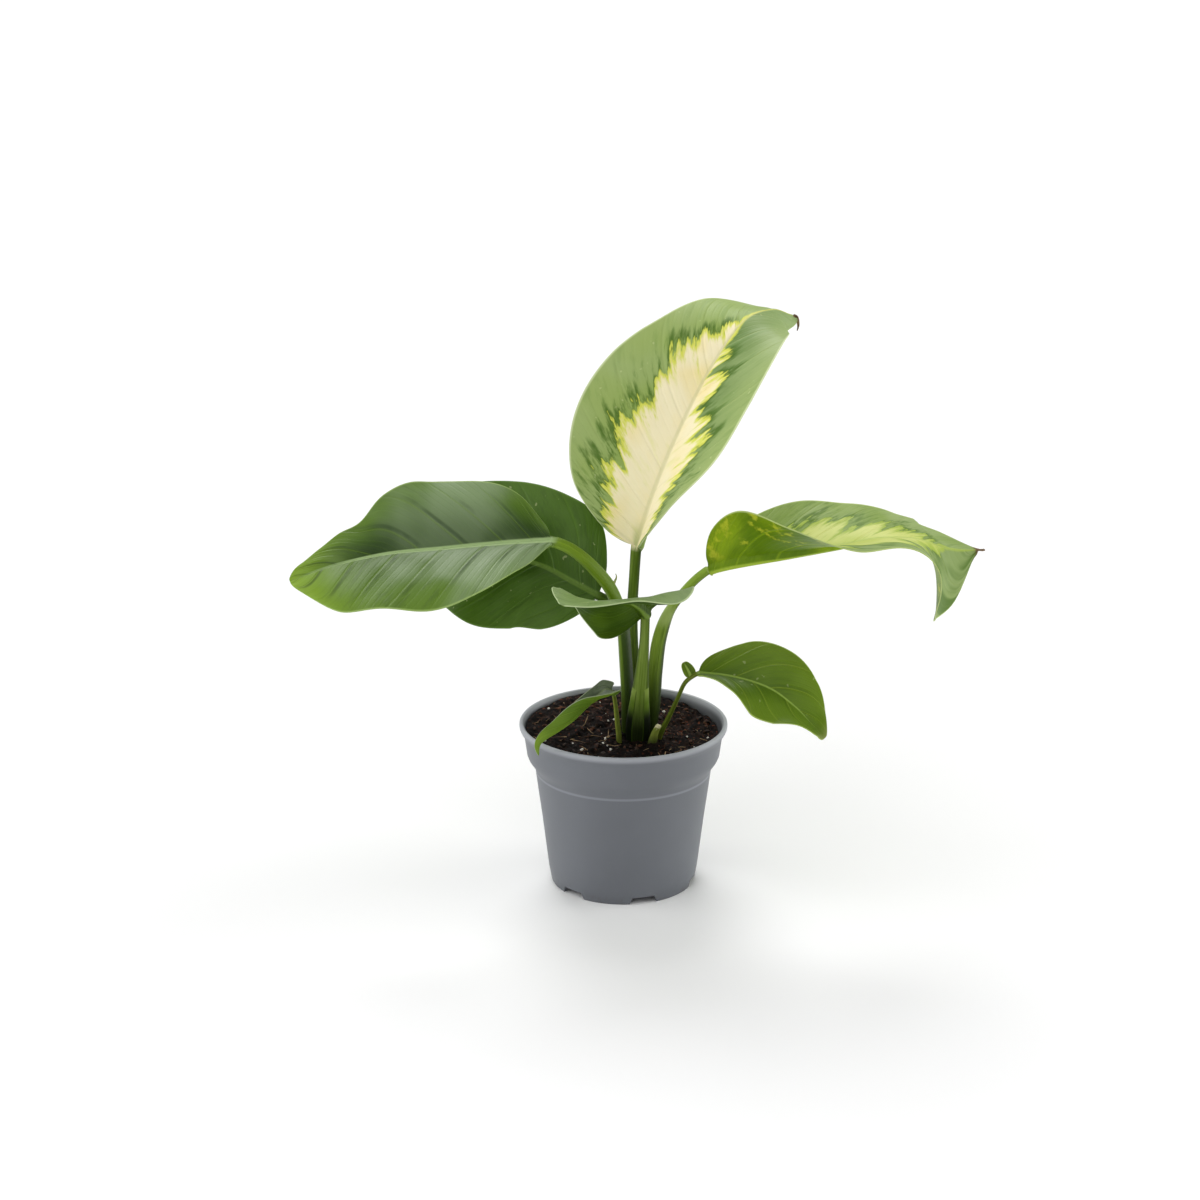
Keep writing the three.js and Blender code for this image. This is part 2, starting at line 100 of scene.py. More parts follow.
# %% [markdown]
# ## Surfaces rolled from a sheet
# A leaf with its stalk, and the soil's surface too, is one skin that closes on itself. The plain way
# to make such a skin is to take a flat grid, roll it up so that its two long sides meet, and press it
# to shape. A grid primitive is added, each of its points is moved by a rule, the seam is merged and
# the two ends are filled.


# %% Roll a grid into a closed skin
def roll(name, around, rows, place, marks=None, angle=40):
    """place(k, row) gives a point for the k-th step round and the row; marks(k, row) its values."""
    start()
    bpy.ops.mesh.primitive_grid_add(x_subdivisions=around, y_subdivisions=rows, size=2)
    mesh = bpy.context.object.data
    steps = [
        (round((v.co.x + 1) / 2 * around) % around, round((v.co.y + 1) / 2 * rows))
        for v in mesh.vertices
    ]
    places = {step: place(*step) for step in set(steps)}
    mesh.vertices.foreach_set("co", [c for step in steps for c in places[step] * MM])
    if marks:
        values = [marks(*step) for step in steps]
        for n, title in enumerate(("place", "reach")):
            layer = mesh.attributes.new(title, "FLOAT_VECTOR", "POINT")
            layer.data.foreach_set("vector", [c for value in values for c in value[n]])
    mesh.update()
    edit(merge_points, lambda: bpy.ops.mesh.fill_holes(sides=0), face_outwards)
    return finish_piece(name, angle)


# %% [markdown]
# ## Curves through a few points
# A leaf's rib, the widths of its blade and the way that it bends are all given by short lists of
# values, and a smooth curve runs through each list. The same curve serves numbers and points in space.


# %% A smooth curve through a list
def along(values, share):
    last = len(values) - 1
    spot = min(max(share, 0), 1) * last
    i = min(int(spot), last - 1)
    f = spot - i
    a, b = values[i], values[i + 1]
    start_slope = (b - (values[i - 1] if i > 0 else 2 * a - b)) / 2
    end_slope = ((values[i + 2] if i + 2 <= last else 2 * b - a) - a) / 2
    cubic = 2 * a - 2 * b + start_slope + end_slope
    square = 3 * b - 3 * a - 2 * start_slope - end_slope
    return ((cubic * f + square) * f + start_slope) * f + a


PATH_STEPS = 200


class Path:
    """A curve through points, read by the share of its length."""

    def __init__(self, points):
        self.points = [Vector(point) for point in points]
        spots = [along(self.points, k / PATH_STEPS) for k in range(PATH_STEPS + 1)]
        self.lengths = [0.0]
        for one, other in zip(spots, spots[1:]):
            self.lengths.append(self.lengths[-1] + (other - one).length)
        self.length = self.lengths[-1]

    def at(self, share):
        reach = min(max(share, 0), 1) * self.length
        k = min(max(sum(1 for length in self.lengths if length <= reach) - 1, 0), PATH_STEPS - 1)
        step = self.lengths[k + 1] - self.lengths[k]
        return along(self.points, (k + (reach - self.lengths[k]) / step) / PATH_STEPS)

    def way(self, share):
        low, high = max(share - 1e-4, 0), min(share + 1e-4, 1)
        return (self.at(high) - self.at(low)).normalized()


# %% [markdown]
# ## How a leaf is shaped
# A blade hangs on its rib. At each place on the rib, the left and the right half leave it at an angle,
# bend on the way to the margin and rise and fall a little: the margin is waved, and between two side
# veins the blade is slightly quilted. The rib is thick below and fades toward the tip. The stalk is a
# row of ovals that runs into the blade. The rule and nearly all its values are the CAD model's own, so
# the fine leaf lies where the solid does, with many times as many faces. Only four stalks are up to
# 0.6 mm fuller on each side, and two blades differ near the tip.

# %% The blade's rule
BLADE_THICKNESS = 0.6
QUILTING = 0.3  # height of the swelling between two side veins
VEIN_SWEEP = 1.6  # how many veins further on the margin is than the rib, along one vein
RIB_TAPER = 0.85  # share of the rib's thickness that is lost toward the tip
BLADE_ROWS = 132
STALK_ROWS = 44
HALF_STEPS = 22  # points from rib to margin


def blade_axes(leaf, midrib, share):
    forward = midrib.way(share)
    up = along([Vector(face) for face in leaf["face"]], share)
    up = (up - forward * up.dot(forward)).normalized()
    return forward, up, forward.cross(up)


def half_row(leaf, side, turn, origin, axes):
    forward, up, across = axes
    sign = 1 if side == "right" else -1
    half_width = max(along(leaf[side], turn), 0.5)
    flat = min(half_width / 5, 1)
    tilt = math.radians(along(leaf[side + "_tilt"], turn)) * flat
    curl = math.radians(along(leaf[side + "_curl"], turn)) * flat
    sweep = math.radians(along(leaf["sweep"], turn))
    out = across * (sign * math.cos(sweep)) + forward * math.sin(sweep)
    height, waves, begin = leaf["wave"]
    points = []
    for k in range(HALF_STEPS + 1):
        share = 0.5 * k / HALF_STEPS + 0.5 * (k / HALF_STEPS) ** 2
        distance = share * half_width
        bend = curl * share
        chord = distance * math.sin(bend) / bend if abs(bend) > 1e-4 else distance
        middle = tilt - curl + bend
        crest = waves * turn + begin + (0.3 if sign > 0 else 0)
        wave = height * share**2 * math.sin(2 * math.pi * crest)
        vein = leaf["veins"] * turn - VEIN_SWEEP * share
        quilt = 4 * QUILTING * share * (1 - share) * math.sin(2 * math.pi * vein)
        relief = (wave + quilt) * min(half_width / 15, 1)
        point = origin + out * (chord * math.cos(middle)) + up * (chord * math.sin(middle) + relief)
        angle = tilt - curl + 2 * bend
        normal = up * math.cos(angle) - out * math.sin(angle)
        points.append((point, normal, sign * share, sign * distance))
    return points


def blade_row(leaf, midrib, turn):
    """Points round the blade, over the upper side from left to right and back below, with marks."""
    share = (1 - math.cos(math.pi * turn)) / 2
    axes = blade_axes(leaf, midrib, share)
    origin = midrib.at(share)
    rib = leaf["thick"][-1] * (1 - RIB_TAPER * share)
    left = half_row(leaf, "left", turn, origin, axes)
    right = half_row(leaf, "right", turn, origin, axes)
    row = left[:0:-1] + right
    reach = share * midrib.length
    upper, lower = [], []
    for point, normal, side, distance in row:
        near = max(1 - (distance / (1.5 * rib + 0.3)) ** 2, 0)
        groove = 0.35 * near * min(rib / 2, 1)
        depth = max(2 * rib - BLADE_THICKNESS, 0) * near**0.6
        upper.append((point + normal * (BLADE_THICKNESS / 2 - groove), (side, turn, 1), (distance, reach, 0)))
        lower.append((point - normal * (BLADE_THICKNESS / 2 + depth), (side, turn, 0), (distance, reach, 0)))
    return upper + lower[::-1]


# %% The stalk's rule
def stalk_rows(leaf, midrib):
    path = Path(leaf["stalk"])
    count = 2 * (2 * HALF_STEPS + 1)
    up = blade_axes(leaf, midrib, 0)[1]
    rows = []
    for k in range(STALK_ROWS - 1, -1, -1):
        share = k / STALK_ROWS
        forward = path.way(share)
        up = (up - forward * up.dot(forward)).normalized()
        across = forward.cross(up)
        spot = path.at(share)
        wide, thick = along(leaf["wide"], share), along(leaf["thick"], share)
        row = []
        for n in range(count):
            angle = math.pi - 2 * math.pi * (n + 0.5) / count
            groove = 1 - 0.1 * max(math.sin(angle), 0) ** 6
            point = spot + across * (wide * math.cos(angle)) + up * (thick * math.sin(angle) * groove)
            if k == 0:
                point += forward * ((spot.z - point.z) / forward.z)
            upper = 0.5 + 0.5 * math.sin(angle)
            reach = (share - 1) * path.length
            row.append((point, (math.cos(angle), 0, upper), (wide * math.cos(angle), reach, 1)))
        rows.insert(0, row)
    return rows


def skin(name, leaf):
    """Stalk and blade as one closed skin."""
    midrib = Path(leaf["midrib"])
    rows = stalk_rows(leaf, midrib)
    rows += [blade_row(leaf, midrib, k / BLADE_ROWS) for k in range(BLADE_ROWS + 1)]
    return roll(
        name,
        len(rows[0]),
        len(rows) - 1,
        lambda k, row: rows[row][k][0],
        lambda k, row: rows[row][k][1:],
        angle=50,
    )


def grow(leaf):
    """One leaf in place of its CAD node, with its ear where it has one."""
    piece = skin(leaf["name"] + "_grown", leaf)
    if "ear" in leaf:
        skin("ear", leaf["ear"])  # stays selected, so that the leaf can take it in
        piece.select_set(True)
        bpy.context.view_layer.objects.active = piece
        bpy.ops.object.join()
    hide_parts(leaf["name"])
    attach(piece, "root")
    return piece


# %% [markdown]
# ## Shader maths as plain Python
# A finish is a network of nodes. To keep it readable, one small class wraps the socket that a number
# flows out of and overloads the operators, so that a mask is written as a formula. A second class
# holds the material and adds the nodes.


# %% A value in a finish
def by(operation):
    return lambda value, *others: value.math(operation, *others)


class Value:
    def __init__(self, finish, socket):
        self.finish = finish
        self.socket = socket

    def math(self, operation, *others):
        return self.finish.node("ShaderNodeMath", {"operation": operation}, [self, *others])

    __add__ = __radd__ = by("ADD")
    __sub__ = by("SUBTRACT")
    __mul__ = __rmul__ = by("MULTIPLY")
    __truediv__ = by("DIVIDE")
    __pow__ = by("POWER")
    size = by("ABSOLUTE")
    sine = by("SINE")

    def __rsub__(self, other):
        return self.finish.node("ShaderNodeMath", {"operation": "SUBTRACT"}, [other, self])

    def rise(self, low, high):
        """0 below low, 1 above high, and smooth between them."""
        settings = {"interpolation_type": "SMOOTHSTEP"}
        return self.finish.node("ShaderNodeMapRange", settings, [self, low, high, 0.0, 1.0])


# %% A finish and its nodes
class Finish:
    def __init__(self, name, roughness, specular):
        self.material = bpy.data.materials.new(name)
        self.material.use_nodes = True
        self.tree = self.material.node_tree
        self.shader = self.tree.nodes["Principled BSDF"]
        self.shader.inputs["Roughness"].default_value = roughness
        self.shader.inputs["Specular IOR Level"].default_value = specular

    def node(self, kind, settings, values, output=0):
        node = self.tree.nodes.new(kind)
        for key, value in settings.items():
            if key == "stops":
                ramp = node.color_ramp
                while len(ramp.elements) < len(value):
                    ramp.elements.new(1.0)
                for element, (position, colour) in zip(ramp.elements, value):
                    element.position = position
                    element.color = colour
            else:
                setattr(node, key, value)
        pairs = values.items() if isinstance(values, dict) else enumerate(values)
        for key, value in pairs:
            if isinstance(value, Value):
                self.tree.links.new(value.socket, node.inputs[key])
            else:
                node.inputs[key].default_value = value
        return Value(self, node.outputs[output])

    def mix(self, one, other, factor):
        """Colour one where factor is 0, and the other where it is 1."""
        one, other = (shade(colour) if isinstance(colour, str) else colour for colour in (one, other))
        return self.node("ShaderNodeMix", {"data_type": "RGBA"}, {0: factor, 6: one, 7: other}, output=2)

    def layers(self, colour, *layers):
        """Lays other colours over the first, one after another, each where its mask says."""
        for other, mask in layers:
            colour = self.mix(colour, other, mask)
        return colour

    def vector(self, x, y, z):
        return self.node("ShaderNodeCombineXYZ", {}, [x, y, z])

    def split(self, vector):
        return [self.node("ShaderNodeSeparateXYZ", {}, [vector], output=k) for k in range(3)]

    def mark(self, title):
        """The three values that a skin carries under this title."""
        return self.split(self.node("ShaderNodeAttribute", {"attribute_name": title}, {}, output=1))

    def place(self):
        return self.node("ShaderNodeTexCoord", {}, {}, output=3)

    def clouds(self, vector, scale, detail=3.0, roughness=0.55):
        values = {"Vector": vector, "Scale": scale, "Detail": detail, "Roughness": roughness}
        return self.node("ShaderNodeTexNoise", {}, values)

    def paint(self, **sockets):
        names = {"colour": "Base Color", "roughness": "Roughness"}
        for name, value in sockets.items():
            self.tree.links.new(value.socket, self.shader.inputs[names[name]])

    def relief(self, height, distance, strength):
        values = {"Strength": strength, "Distance": distance, "Height": height}
        bump = self.node("ShaderNodeBump", {}, values)
        self.tree.links.new(bump.socket, self.shader.inputs["Normal"])

    def on(self, piece):
        piece.data.materials.clear()
        piece.data.materials.append(self.material)
        print(self.material.name, "on", piece.name, "with", len(self.tree.nodes), "nodes")


def shade(text):
    """A colour as a screen shows it, such as 8A9B4C, as the light that it reflects."""
    parts = [int(text[k : k + 2], 16) / 255 for k in (0, 2, 4)]
    return (*[p / 12.92 if p < 0.04045 else ((p + 0.055) / 1.055) ** 2.4 for p in parts], 1.0)


# %% [markdown]
# ## The pot
# A nursery pot is injection moulded: a thin tapered wall with a collar and a rolled lip, standing on
# a foot ring with notches that let water out. The section through its wall is one closed outline, so
# a circle primitive lends its points to that outline, and the spin operator turns it round the axis.
# The notches and the drain holes are cut with shapes of their own.

# %% Turn the pot
POT_SECTION = [
    (0, 4.6), (20, 4.6), (39.6, 4.6), (39.6, 0.3), (39.9, 0), (41.4, 0), (41.8, 0.4),
    (43.4, 9), (45.2, 24), (47.1, 40), (49, 54), (50.8, 68), (51, 69.6), (51.5, 71), (53, 73.4),
    (54.8, 76), (55.7, 78.3), (56, 80.5), (56.6, 85), (57.2, 89.2), (57.5, 90.4), (58.2, 91.6),
    (59.2, 92.9), (59.8, 94.1), (60, 95.2), (59.95, 96.1), (59.5, 96.75), (58.7, 97), (57.9, 96.7),
    (57.4, 95.8), (56.6, 93), (55.8, 90), (54.6, 80.5), (54.2, 78.6), (53.4, 77), (51.2, 73.6),
    (49.9, 71.8), (49.4, 70), (46, 42), (42.2, 9), (41.2, 6.8), (39.6, 6.1), (20, 6.1), (0, 6.1),
]
POT_STEPS = 180
NOTCHES = 6
NOTCH_TURN = -74  # degrees from +X, of the notch nearest the front
NOTCH_WIDTH = 17
NOTCH_HEIGHT = 4.3
NOTCH_SLANT = 2  # by which each side of a notch leans in toward its top
FOOT_MIDDLE = 40.7  # radius of the foot ring's middle line
DRAIN_RADIUS = 4
DRAIN_CIRCLE = 30

start()
bpy.ops.mesh.primitive_circle_add(vertices=len(POT_SECTION), radius=0.01)
for vertex, (radius, height) in zip(bpy.context.object.data.vertices, POT_SECTION):
    vertex.co = Vector((radius, 0, height)) * MM
edit(
    lambda: bpy.ops.mesh.spin(steps=POT_STEPS, angle=2 * math.pi, center=(0, 0, 0), axis=(0, 0, 1)),
    merge_points,
    drop_loose,
    face_outwards,
)
pot = finish_piece("pot_moulding")

# %% [markdown]
# The notches are six slanted blocks through the foot ring, and the drain holes six rods through the
# floor. Each is a primitive, put at its place and taken away with a Boolean modifier.


# %% Cut the notches and drain holes
def cut(piece, cutter):
    start()
    bpy.context.view_layer.objects.active = piece
    piece.select_set(True)
    modifier = piece.modifiers.new("cut", "BOOLEAN")
    modifier.operation = "DIFFERENCE"
    modifier.object = cutter
    bpy.ops.object.modifier_apply(modifier=modifier.name)
    bpy.data.objects.remove(cutter, do_unlink=True)


def notch_block():
    bpy.ops.mesh.primitive_cube_add(size=1)
    block = bpy.context.object
    for vertex in block.data.vertices:
        top = vertex.co.z > 0
        half = NOTCH_WIDTH / 2 - (NOTCH_SLANT if top else 0)
        x, y = math.copysign(5, vertex.co.x), math.copysign(half, vertex.co.y)
        vertex.co = Vector((x, y, NOTCH_HEIGHT if top else -1)) * MM
    return block


def put_round(piece, radius, turn):
    for vertex in piece.data.vertices:
        x, y = vertex.co.x + radius * MM, vertex.co.y
        vertex.co.x = x * math.cos(turn) - y * math.sin(turn)
        vertex.co.y = x * math.sin(turn) + y * math.cos(turn)


for number in range(NOTCHES):
    turn = math.radians(NOTCH_TURN + 360 * number / NOTCHES)
    start()
    block = notch_block()
    put_round(block, FOOT_MIDDLE, turn)
    cut(pot, block)
    start()
    bpy.ops.mesh.primitive_cylinder_add(vertices=32, radius=DRAIN_RADIUS * MM, depth=8 * MM)
    rod = bpy.context.object
    for vertex in rod.data.vertices:
        vertex.co.z += 5 * MM
    put_round(rod, DRAIN_CIRCLE, turn)
    cut(pot, rod)
bpy.context.view_layer.objects.active = pot
pot = finish_piece("pot_moulding", 35)
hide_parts("pot")
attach(pot, "root")

# %% [markdown]
# ## The pot's plastic
# The plastic is a cool mid grey with a satin surface. It is nearly even: a faint cloudiness, the finest
# grain of the mould, a thin pale seam line below the collar, soil dust low down, painted shade on the
# inside of the collar, and a lip that the light makes paler.

# %% Finish the pot
SEAM_HEIGHT = 0.0682
WALL_SLOPE = 0.16  # how fast the inner wall of the collar widens upwards

plastic = Finish("pot_plastic", roughness=0.46, specular=0.45)
spot = plastic.place()
x, y, z = plastic.split(spot)
cloud = plastic.clouds(spot, 22.0, 4.0)
grain = plastic.clouds(spot, 1400.0, 2.0)
wear = plastic.clouds(spot, 160.0, 5.0, 0.7)
lip = z.rise(0.0925, 0.0962)
seam = 1 - (z - SEAM_HEIGHT).size().rise(0.0003, 0.0011)
radius = (x * x + y * y) ** 0.5
within_collar = 1 - (radius - z * WALL_SLOPE).rise(0.0421, 0.0425)
# Painted shade: the inside of the collar, which lies in shade, is coloured darker.
inside = within_collar * z.rise(0.077, 0.079) * (1 - z.rise(0.092, 0.096))
dust = wear.rise(0.52, 0.72) * (1 - z.rise(0.0, 0.012))
colour = plastic.layers(
    plastic.mix("62656B", "6E7278", cloud),
    ("A9ACB2", lip * 0.8),
    ("92969E", seam * 0.5),
    ("46474A", inside * 0.75),
    ("5A4E48", dust * 0.3),
)
plastic.paint(colour=colour, roughness=0.40 + 0.12 * cloud + 0.05 * wear)
plastic.relief(grain * 0.5 + wear * 0.5, 0.00012, 0.35)
plastic.on(pot)

# %% [markdown]
# ## The soil
# Potting soil is sifted peat: a dark brown crumb of a few millimetres, with lighter fibres, reddish
# bark and white grains of perlite. The block itself is rolled from a grid whose rows run from the
# middle of its underside over the wall to the middle of its top, and the top gets the crumb's lumps.

# %% Shape the soil
SOIL_LOW = 87.2  # height of the surface at the front right
SOIL_BANK = 8  # how much higher it is at the back left
SOIL_REACH = 55  # radius up to which it is banked
SOIL_SHOULDER = 86  # where the wall ends and the surface begins
SHOULDER_RADIUS = 54.8
SOIL_LEAN = 0.145  # how fast the pot widens above the shoulder
SOIL_LUMP = 0.9  # height of its broad lumps
SOIL_AROUND = 260
SOIL_ROWS = 150
SOIL_WALL = [  # radius and height, from the middle of the underside to the shoulder
    (0, 6.6), (20, 6.5), (41.4, 6.5), (45, 35), (48.6, 68), (49.1, 70.4), (52.8, 76.8), (54.1, 80.4),
    (SHOULDER_RADIUS, SOIL_SHOULDER),
]
WALL_ROWS = len(SOIL_WALL) + 1


def soil_height(x, y):
    back_left = (0.85 * y - 0.53 * x) / SOIL_REACH
    lumps = math.sin(x * 0.21 + 1) * math.cos(y * 0.19) + 0.6 * math.sin(x * 0.47 - y * 0.36)
    return SOIL_LOW + SOIL_BANK * max((back_left + 1) / 2, 0) ** 1.3 + SOIL_LUMP * lumps


def crumb(x, y):
    """Height of the crumb above the smooth surface, in lumps of three sizes."""
    spot = Vector((x, y, 3))
    coarse = noise.noise(spot / 4.2) * 1.3
    middle = noise.noise(spot / 1.9) * 0.9
    fine = noise.noise(spot / 0.85) * 0.35
    return coarse + middle + fine


def soil_place(k, row):
    turn = 2 * math.pi * k / SOIL_AROUND
    across, along_y = math.cos(turn), math.sin(turn)
    if row < WALL_ROWS - 1:
        radius, height = SOIL_WALL[row]
        return Vector((radius * across, radius * along_y, height))
    share = (SOIL_ROWS - row) / (SOIL_ROWS - WALL_ROWS + 1)
    rim_height = soil_height(SOIL_REACH * across, SOIL_REACH * along_y)
    edge = SHOULDER_RADIUS + SOIL_LEAN * (rim_height - SOIL_SHOULDER)
    x, y = edge * share * across, edge * share * along_y
    return Vector((x, y, soil_height(x, y) + crumb(x, y) * min(1, (1 - share) * 9 + 0.35)))


soil = roll("soil_crumb", SOIL_AROUND, SOIL_ROWS, soil_place, angle=60)
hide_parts("soil")
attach(soil, "root")

# %% [markdown]
# What lies on the soil is modelled once and copied: a rough grain for the perlite, a flat chip for the
# bark and a thin bent thread for the fibres. Every copy is turned and sized by a seeded draw, and the
# copies of a kind are joined to one piece.


# %% Scatter perlite, bark and fibres
STREWN_RADIUS = 52
STALK_FEET = [  # place and radius of each stalk where it leaves the soil
    (8, 5.5, 4), (2.6, 0, 5), (3, 10, 4), (8, -9, 8), (15.5, 1, 5), (18, -9, 3), (-2.5, -13, 2.5)
]


def free_spot(margin):
    """A place on the soil that no stalk stands on."""
    while True:
        turn, radius = random.uniform(0, 2 * math.pi), STREWN_RADIUS * math.sqrt(random.random())
        x, y = radius * math.cos(turn), radius * math.sin(turn)
        if all((x - a) ** 2 + (y - b) ** 2 > (r + margin) ** 2 for a, b, r in STALK_FEET):
            return x, y


def scatter(name, model, count, sizes, lift, margin, squash=(1, 1, 1)):
    """Seeded copies of a model, with sizes between two values, joined to one piece."""
    copies = []
    for _ in range(count):
        copy = model.copy()
        copy.data = model.data.copy()
        bpy.context.collection.objects.link(copy)
        x, y = free_spot(margin)
        size = random.uniform(*sizes)
        copy.location = Vector((x, y, soil_height(x, y) + crumb(x, y) + lift * size)) * MM
        copy.scale = [size * MM * k * random.uniform(0.8, 1.2) for k in squash]
        tilts = random.uniform(-0.5, 0.5), random.uniform(-0.5, 0.5)
        copy.rotation_euler = (*tilts, random.uniform(0, 6.3))
        copies.append(copy)
    bpy.data.objects.remove(model, do_unlink=True)
    start()
    for copy in copies:
        copy.select_set(True)
    bpy.context.view_layer.objects.active = copies[0]
    bpy.ops.object.transform_apply(location=True, rotation=True, scale=True)
    bpy.ops.object.join()
    piece = finish_piece(name, 50)
    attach(piece, "root")
    return piece


def roughen(amount, step):
    """Makes the active ball an uneven lump."""
    for vertex in bpy.context.object.data.vertices:
        vertex.co *= 1 + amount * noise.noise(vertex.co * step + Vector((5, 1, 2)))
    return bpy.context.object


start()
bpy.ops.mesh.primitive_ico_sphere_add(subdivisions=2, radius=1)
perlite = scatter("perlite_grains", roughen(0.45, 1.4), 40, (0.35, 0.9), 0.3, 1.0)
start()
bpy.ops.mesh.primitive_ico_sphere_add(subdivisions=2, radius=1)
bark = scatter("bark_chips", roughen(0.6, 1.1), 210, (0.7, 2.4), 0.1, 1.0, (1, 0.55, 0.3))

# %% Bend one fibre and scatter it
start()
bpy.ops.mesh.primitive_cylinder_add(vertices=6, radius=0.05, depth=2)
edit(lambda: bpy.ops.mesh.subdivide(number_cuts=1))
for vertex in bpy.context.object.data.vertices:
    x, y, length = vertex.co
    vertex.co = Vector((length, x + 0.35 * length**2, y + 0.12 * math.sin(3 * length)))
fibres = scatter("peat_fibres", bpy.context.object, 90, (2.0, 5.5), 0.08, 1.5)

# %% [markdown]
# ## The soil's finish
# Damp peat is nearly black in its hollows and warm brown where a crumb has dried, and toward the front
# it is darkened further by painted shade, as are the bark chips. The colour follows clouds of several
# sizes, with rusty specks, and the finest crumb is left to the bump.

# %% Finish the soil and what lies on it
def front_shade_mask(finish, spot):
    """A painted shade: 1 at the front and 0 at the back."""
    x, y, _ = finish.split(spot)
    return (y + x * 0.3).rise(0.02, -0.03)


peat = Finish("damp_peat", roughness=0.9, specular=0.12)
spot = peat.place()
# Painted shade, darkest at the front, dims the peat's brown crumb, rust and specks.
front_shade = front_shade_mask(peat, spot)
lumps = peat.clouds(spot, 260.0, 6.0, 0.65)
specks = peat.clouds(spot, 720.0, 3.0, 0.6)
rust = peat.clouds(spot, 420.0, 2.0, 0.5)
colour = peat.layers(
    peat.mix("060302", "32211A", lumps.rise(0.42, 0.68) * (1 - front_shade * 0.75)),
    ("703A24", rust.rise(0.62, 0.7) * (0.75 - front_shade * 0.5)),
    ("8A7460", specks.rise(0.66, 0.72) * (0.7 - front_shade * 0.4)),
)
peat.paint(colour=colour, roughness=0.78 + 0.2 * lumps)
peat.relief(lumps * 0.6 + specks * 0.5, 0.0009, 0.9)
peat.on(soil)

grain_white = Finish("perlite_white", roughness=0.85, specular=0.3)
pores = grain_white.clouds(grain_white.place(), 1500.0, 4.0, 0.7)
colour = grain_white.mix("B9AFA4", "F4F1EA", pores.rise(0.35, 0.6))
grain_white.paint(colour=colour, roughness=0.75 + 0.2 * pores)
grain_white.relief(pores, 0.0004, 0.7)
grain_white.on(perlite)

bark_brown = Finish("bark_brown", roughness=0.8, specular=0.3)
spot = bark_brown.place()
# The same painted shade darkens the bark chips toward the front.
front_shade = front_shade_mask(bark_brown, spot)
tone = bark_brown.clouds(spot, 190.0, 2.0)
fibre_tone = bark_brown.clouds(spot, 1600.0, 4.0, 0.7)
colour = bark_brown.mix("1D120D", "6B4029", tone.rise(0.42, 0.66) * (1 - front_shade * 0.7))
colour = bark_brown.mix(colour, "8C6242", fibre_tone.rise(0.55, 0.75) * 0.5)
bark_brown.paint(colour=colour, roughness=0.7 + 0.25 * tone)
bark_brown.relief(fibre_tone, 0.0004, 0.7)
bark_brown.on(bark)

thread = Finish("fibre_brown", roughness=0.8, specular=0.3)
spot = thread.place()
tone = thread.clouds(spot, 120.0, 2.0)
colour = thread.mix("4A3222", "A98E6C", tone.rise(0.4, 0.65))
thread.paint(colour=colour, roughness=0.7 + 0.2 * tone)
thread.relief(thread.clouds(spot, 2500.0, 2.0), 0.0002, 0.5)
thread.on(fibres)

# %% [markdown]
# ## The rootstock
# Under the soil the five large leaves stand on a short, thick rootstock. It is the CAD solid itself,
# with rings where older leaves fell off and a green-brown bark.

# %% Finish the rootstock
root_bark = Finish("rootstock_bark", roughness=0.8, specular=0.3)
spot = root_bark.place()
_, _, z = root_bark.split(spot)
rings = (z * 900.0 + root_bark.clouds(spot, 90.0) * 3.0).sine()
blotch = root_bark.clouds(spot, 140.0, 4.0)
colour = root_bark.mix("5E5B33", "8B8452", blotch)
colour = root_bark.mix(colour, "4A3A24", rings.rise(0.7, 0.95) * 0.8)
root_bark.paint(colour=colour, roughness=0.7 + 0.2 * blotch)
root_bark.relief(rings * 0.5 + blotch, 0.0006, 0.6)
root_bark.on(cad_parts["cane"])

# %% [markdown]
# ## How a leaf is coloured
# Every skin carries two marks at each point. Its place holds the share of the way from rib to margin,
# the turn from base to tip, and whether it lies on the upper side. Its reach holds the true distances
# from the rib and along it, and whether it is stalk. From them comes the course of the side veins,
# which leave the rib steeply and sweep forward, and nearly everything else follows that course: the
# darker bands between veins, the fine streaks, and on some leaves a cream or yellow centre whose edge
# breaks up into flames along the veins. A thin pale margin runs round the blade.


# %% What a leaf's look starts from
PLAIN_LOOK = {  # what holds for a leaf whose own look says nothing else
    # sheen_share sets a painted sheen, and the hollow values set painted shade beside the rib
    "seed": 0, "shine": 0.3, "gloss": 0.36, "patch_scale": 26.0, "margin_glow": 0.6, "streaking": 0.25,
    "sheen_share": 0.3, "hollow_reach": 0.4, "hollow_left": 0.3, "hollow_right": 0.3, "tip_from": 0.7,
    "tip_share": 0.4, "vein_light": 0.2, "vein_dark": 0.2, "end_streaks": 0.0, "specks": 0.0,
    "rib_share": 0.8, "rib_width": 1.0, "fringe_reach": 0.16, "green_base": 0.0, "below_edge": 0.0,
    # lit_face sets painted light on a stalk; dark_edges, dark_back, dark_inner and foot_share set painted
    # shade on it
    "spot_share": 0.0, "dry_from": 2, "lit_face": 0.0, "dark_edges": 0.7, "dark_back": 0.0,
    "dark_inner": 0.0, "foot_share": 0.8,
}
SAME_AS = {"middle_right": "middle", "sheen": "light", "tip": "light", "halo": "dark", "spots": "below_light"}


# %% Read the marks on the skin
def ridge(course):
    """1 on each side vein and 0 midway between two."""
    return (course.math("FRACT") - 0.5).size() * 2


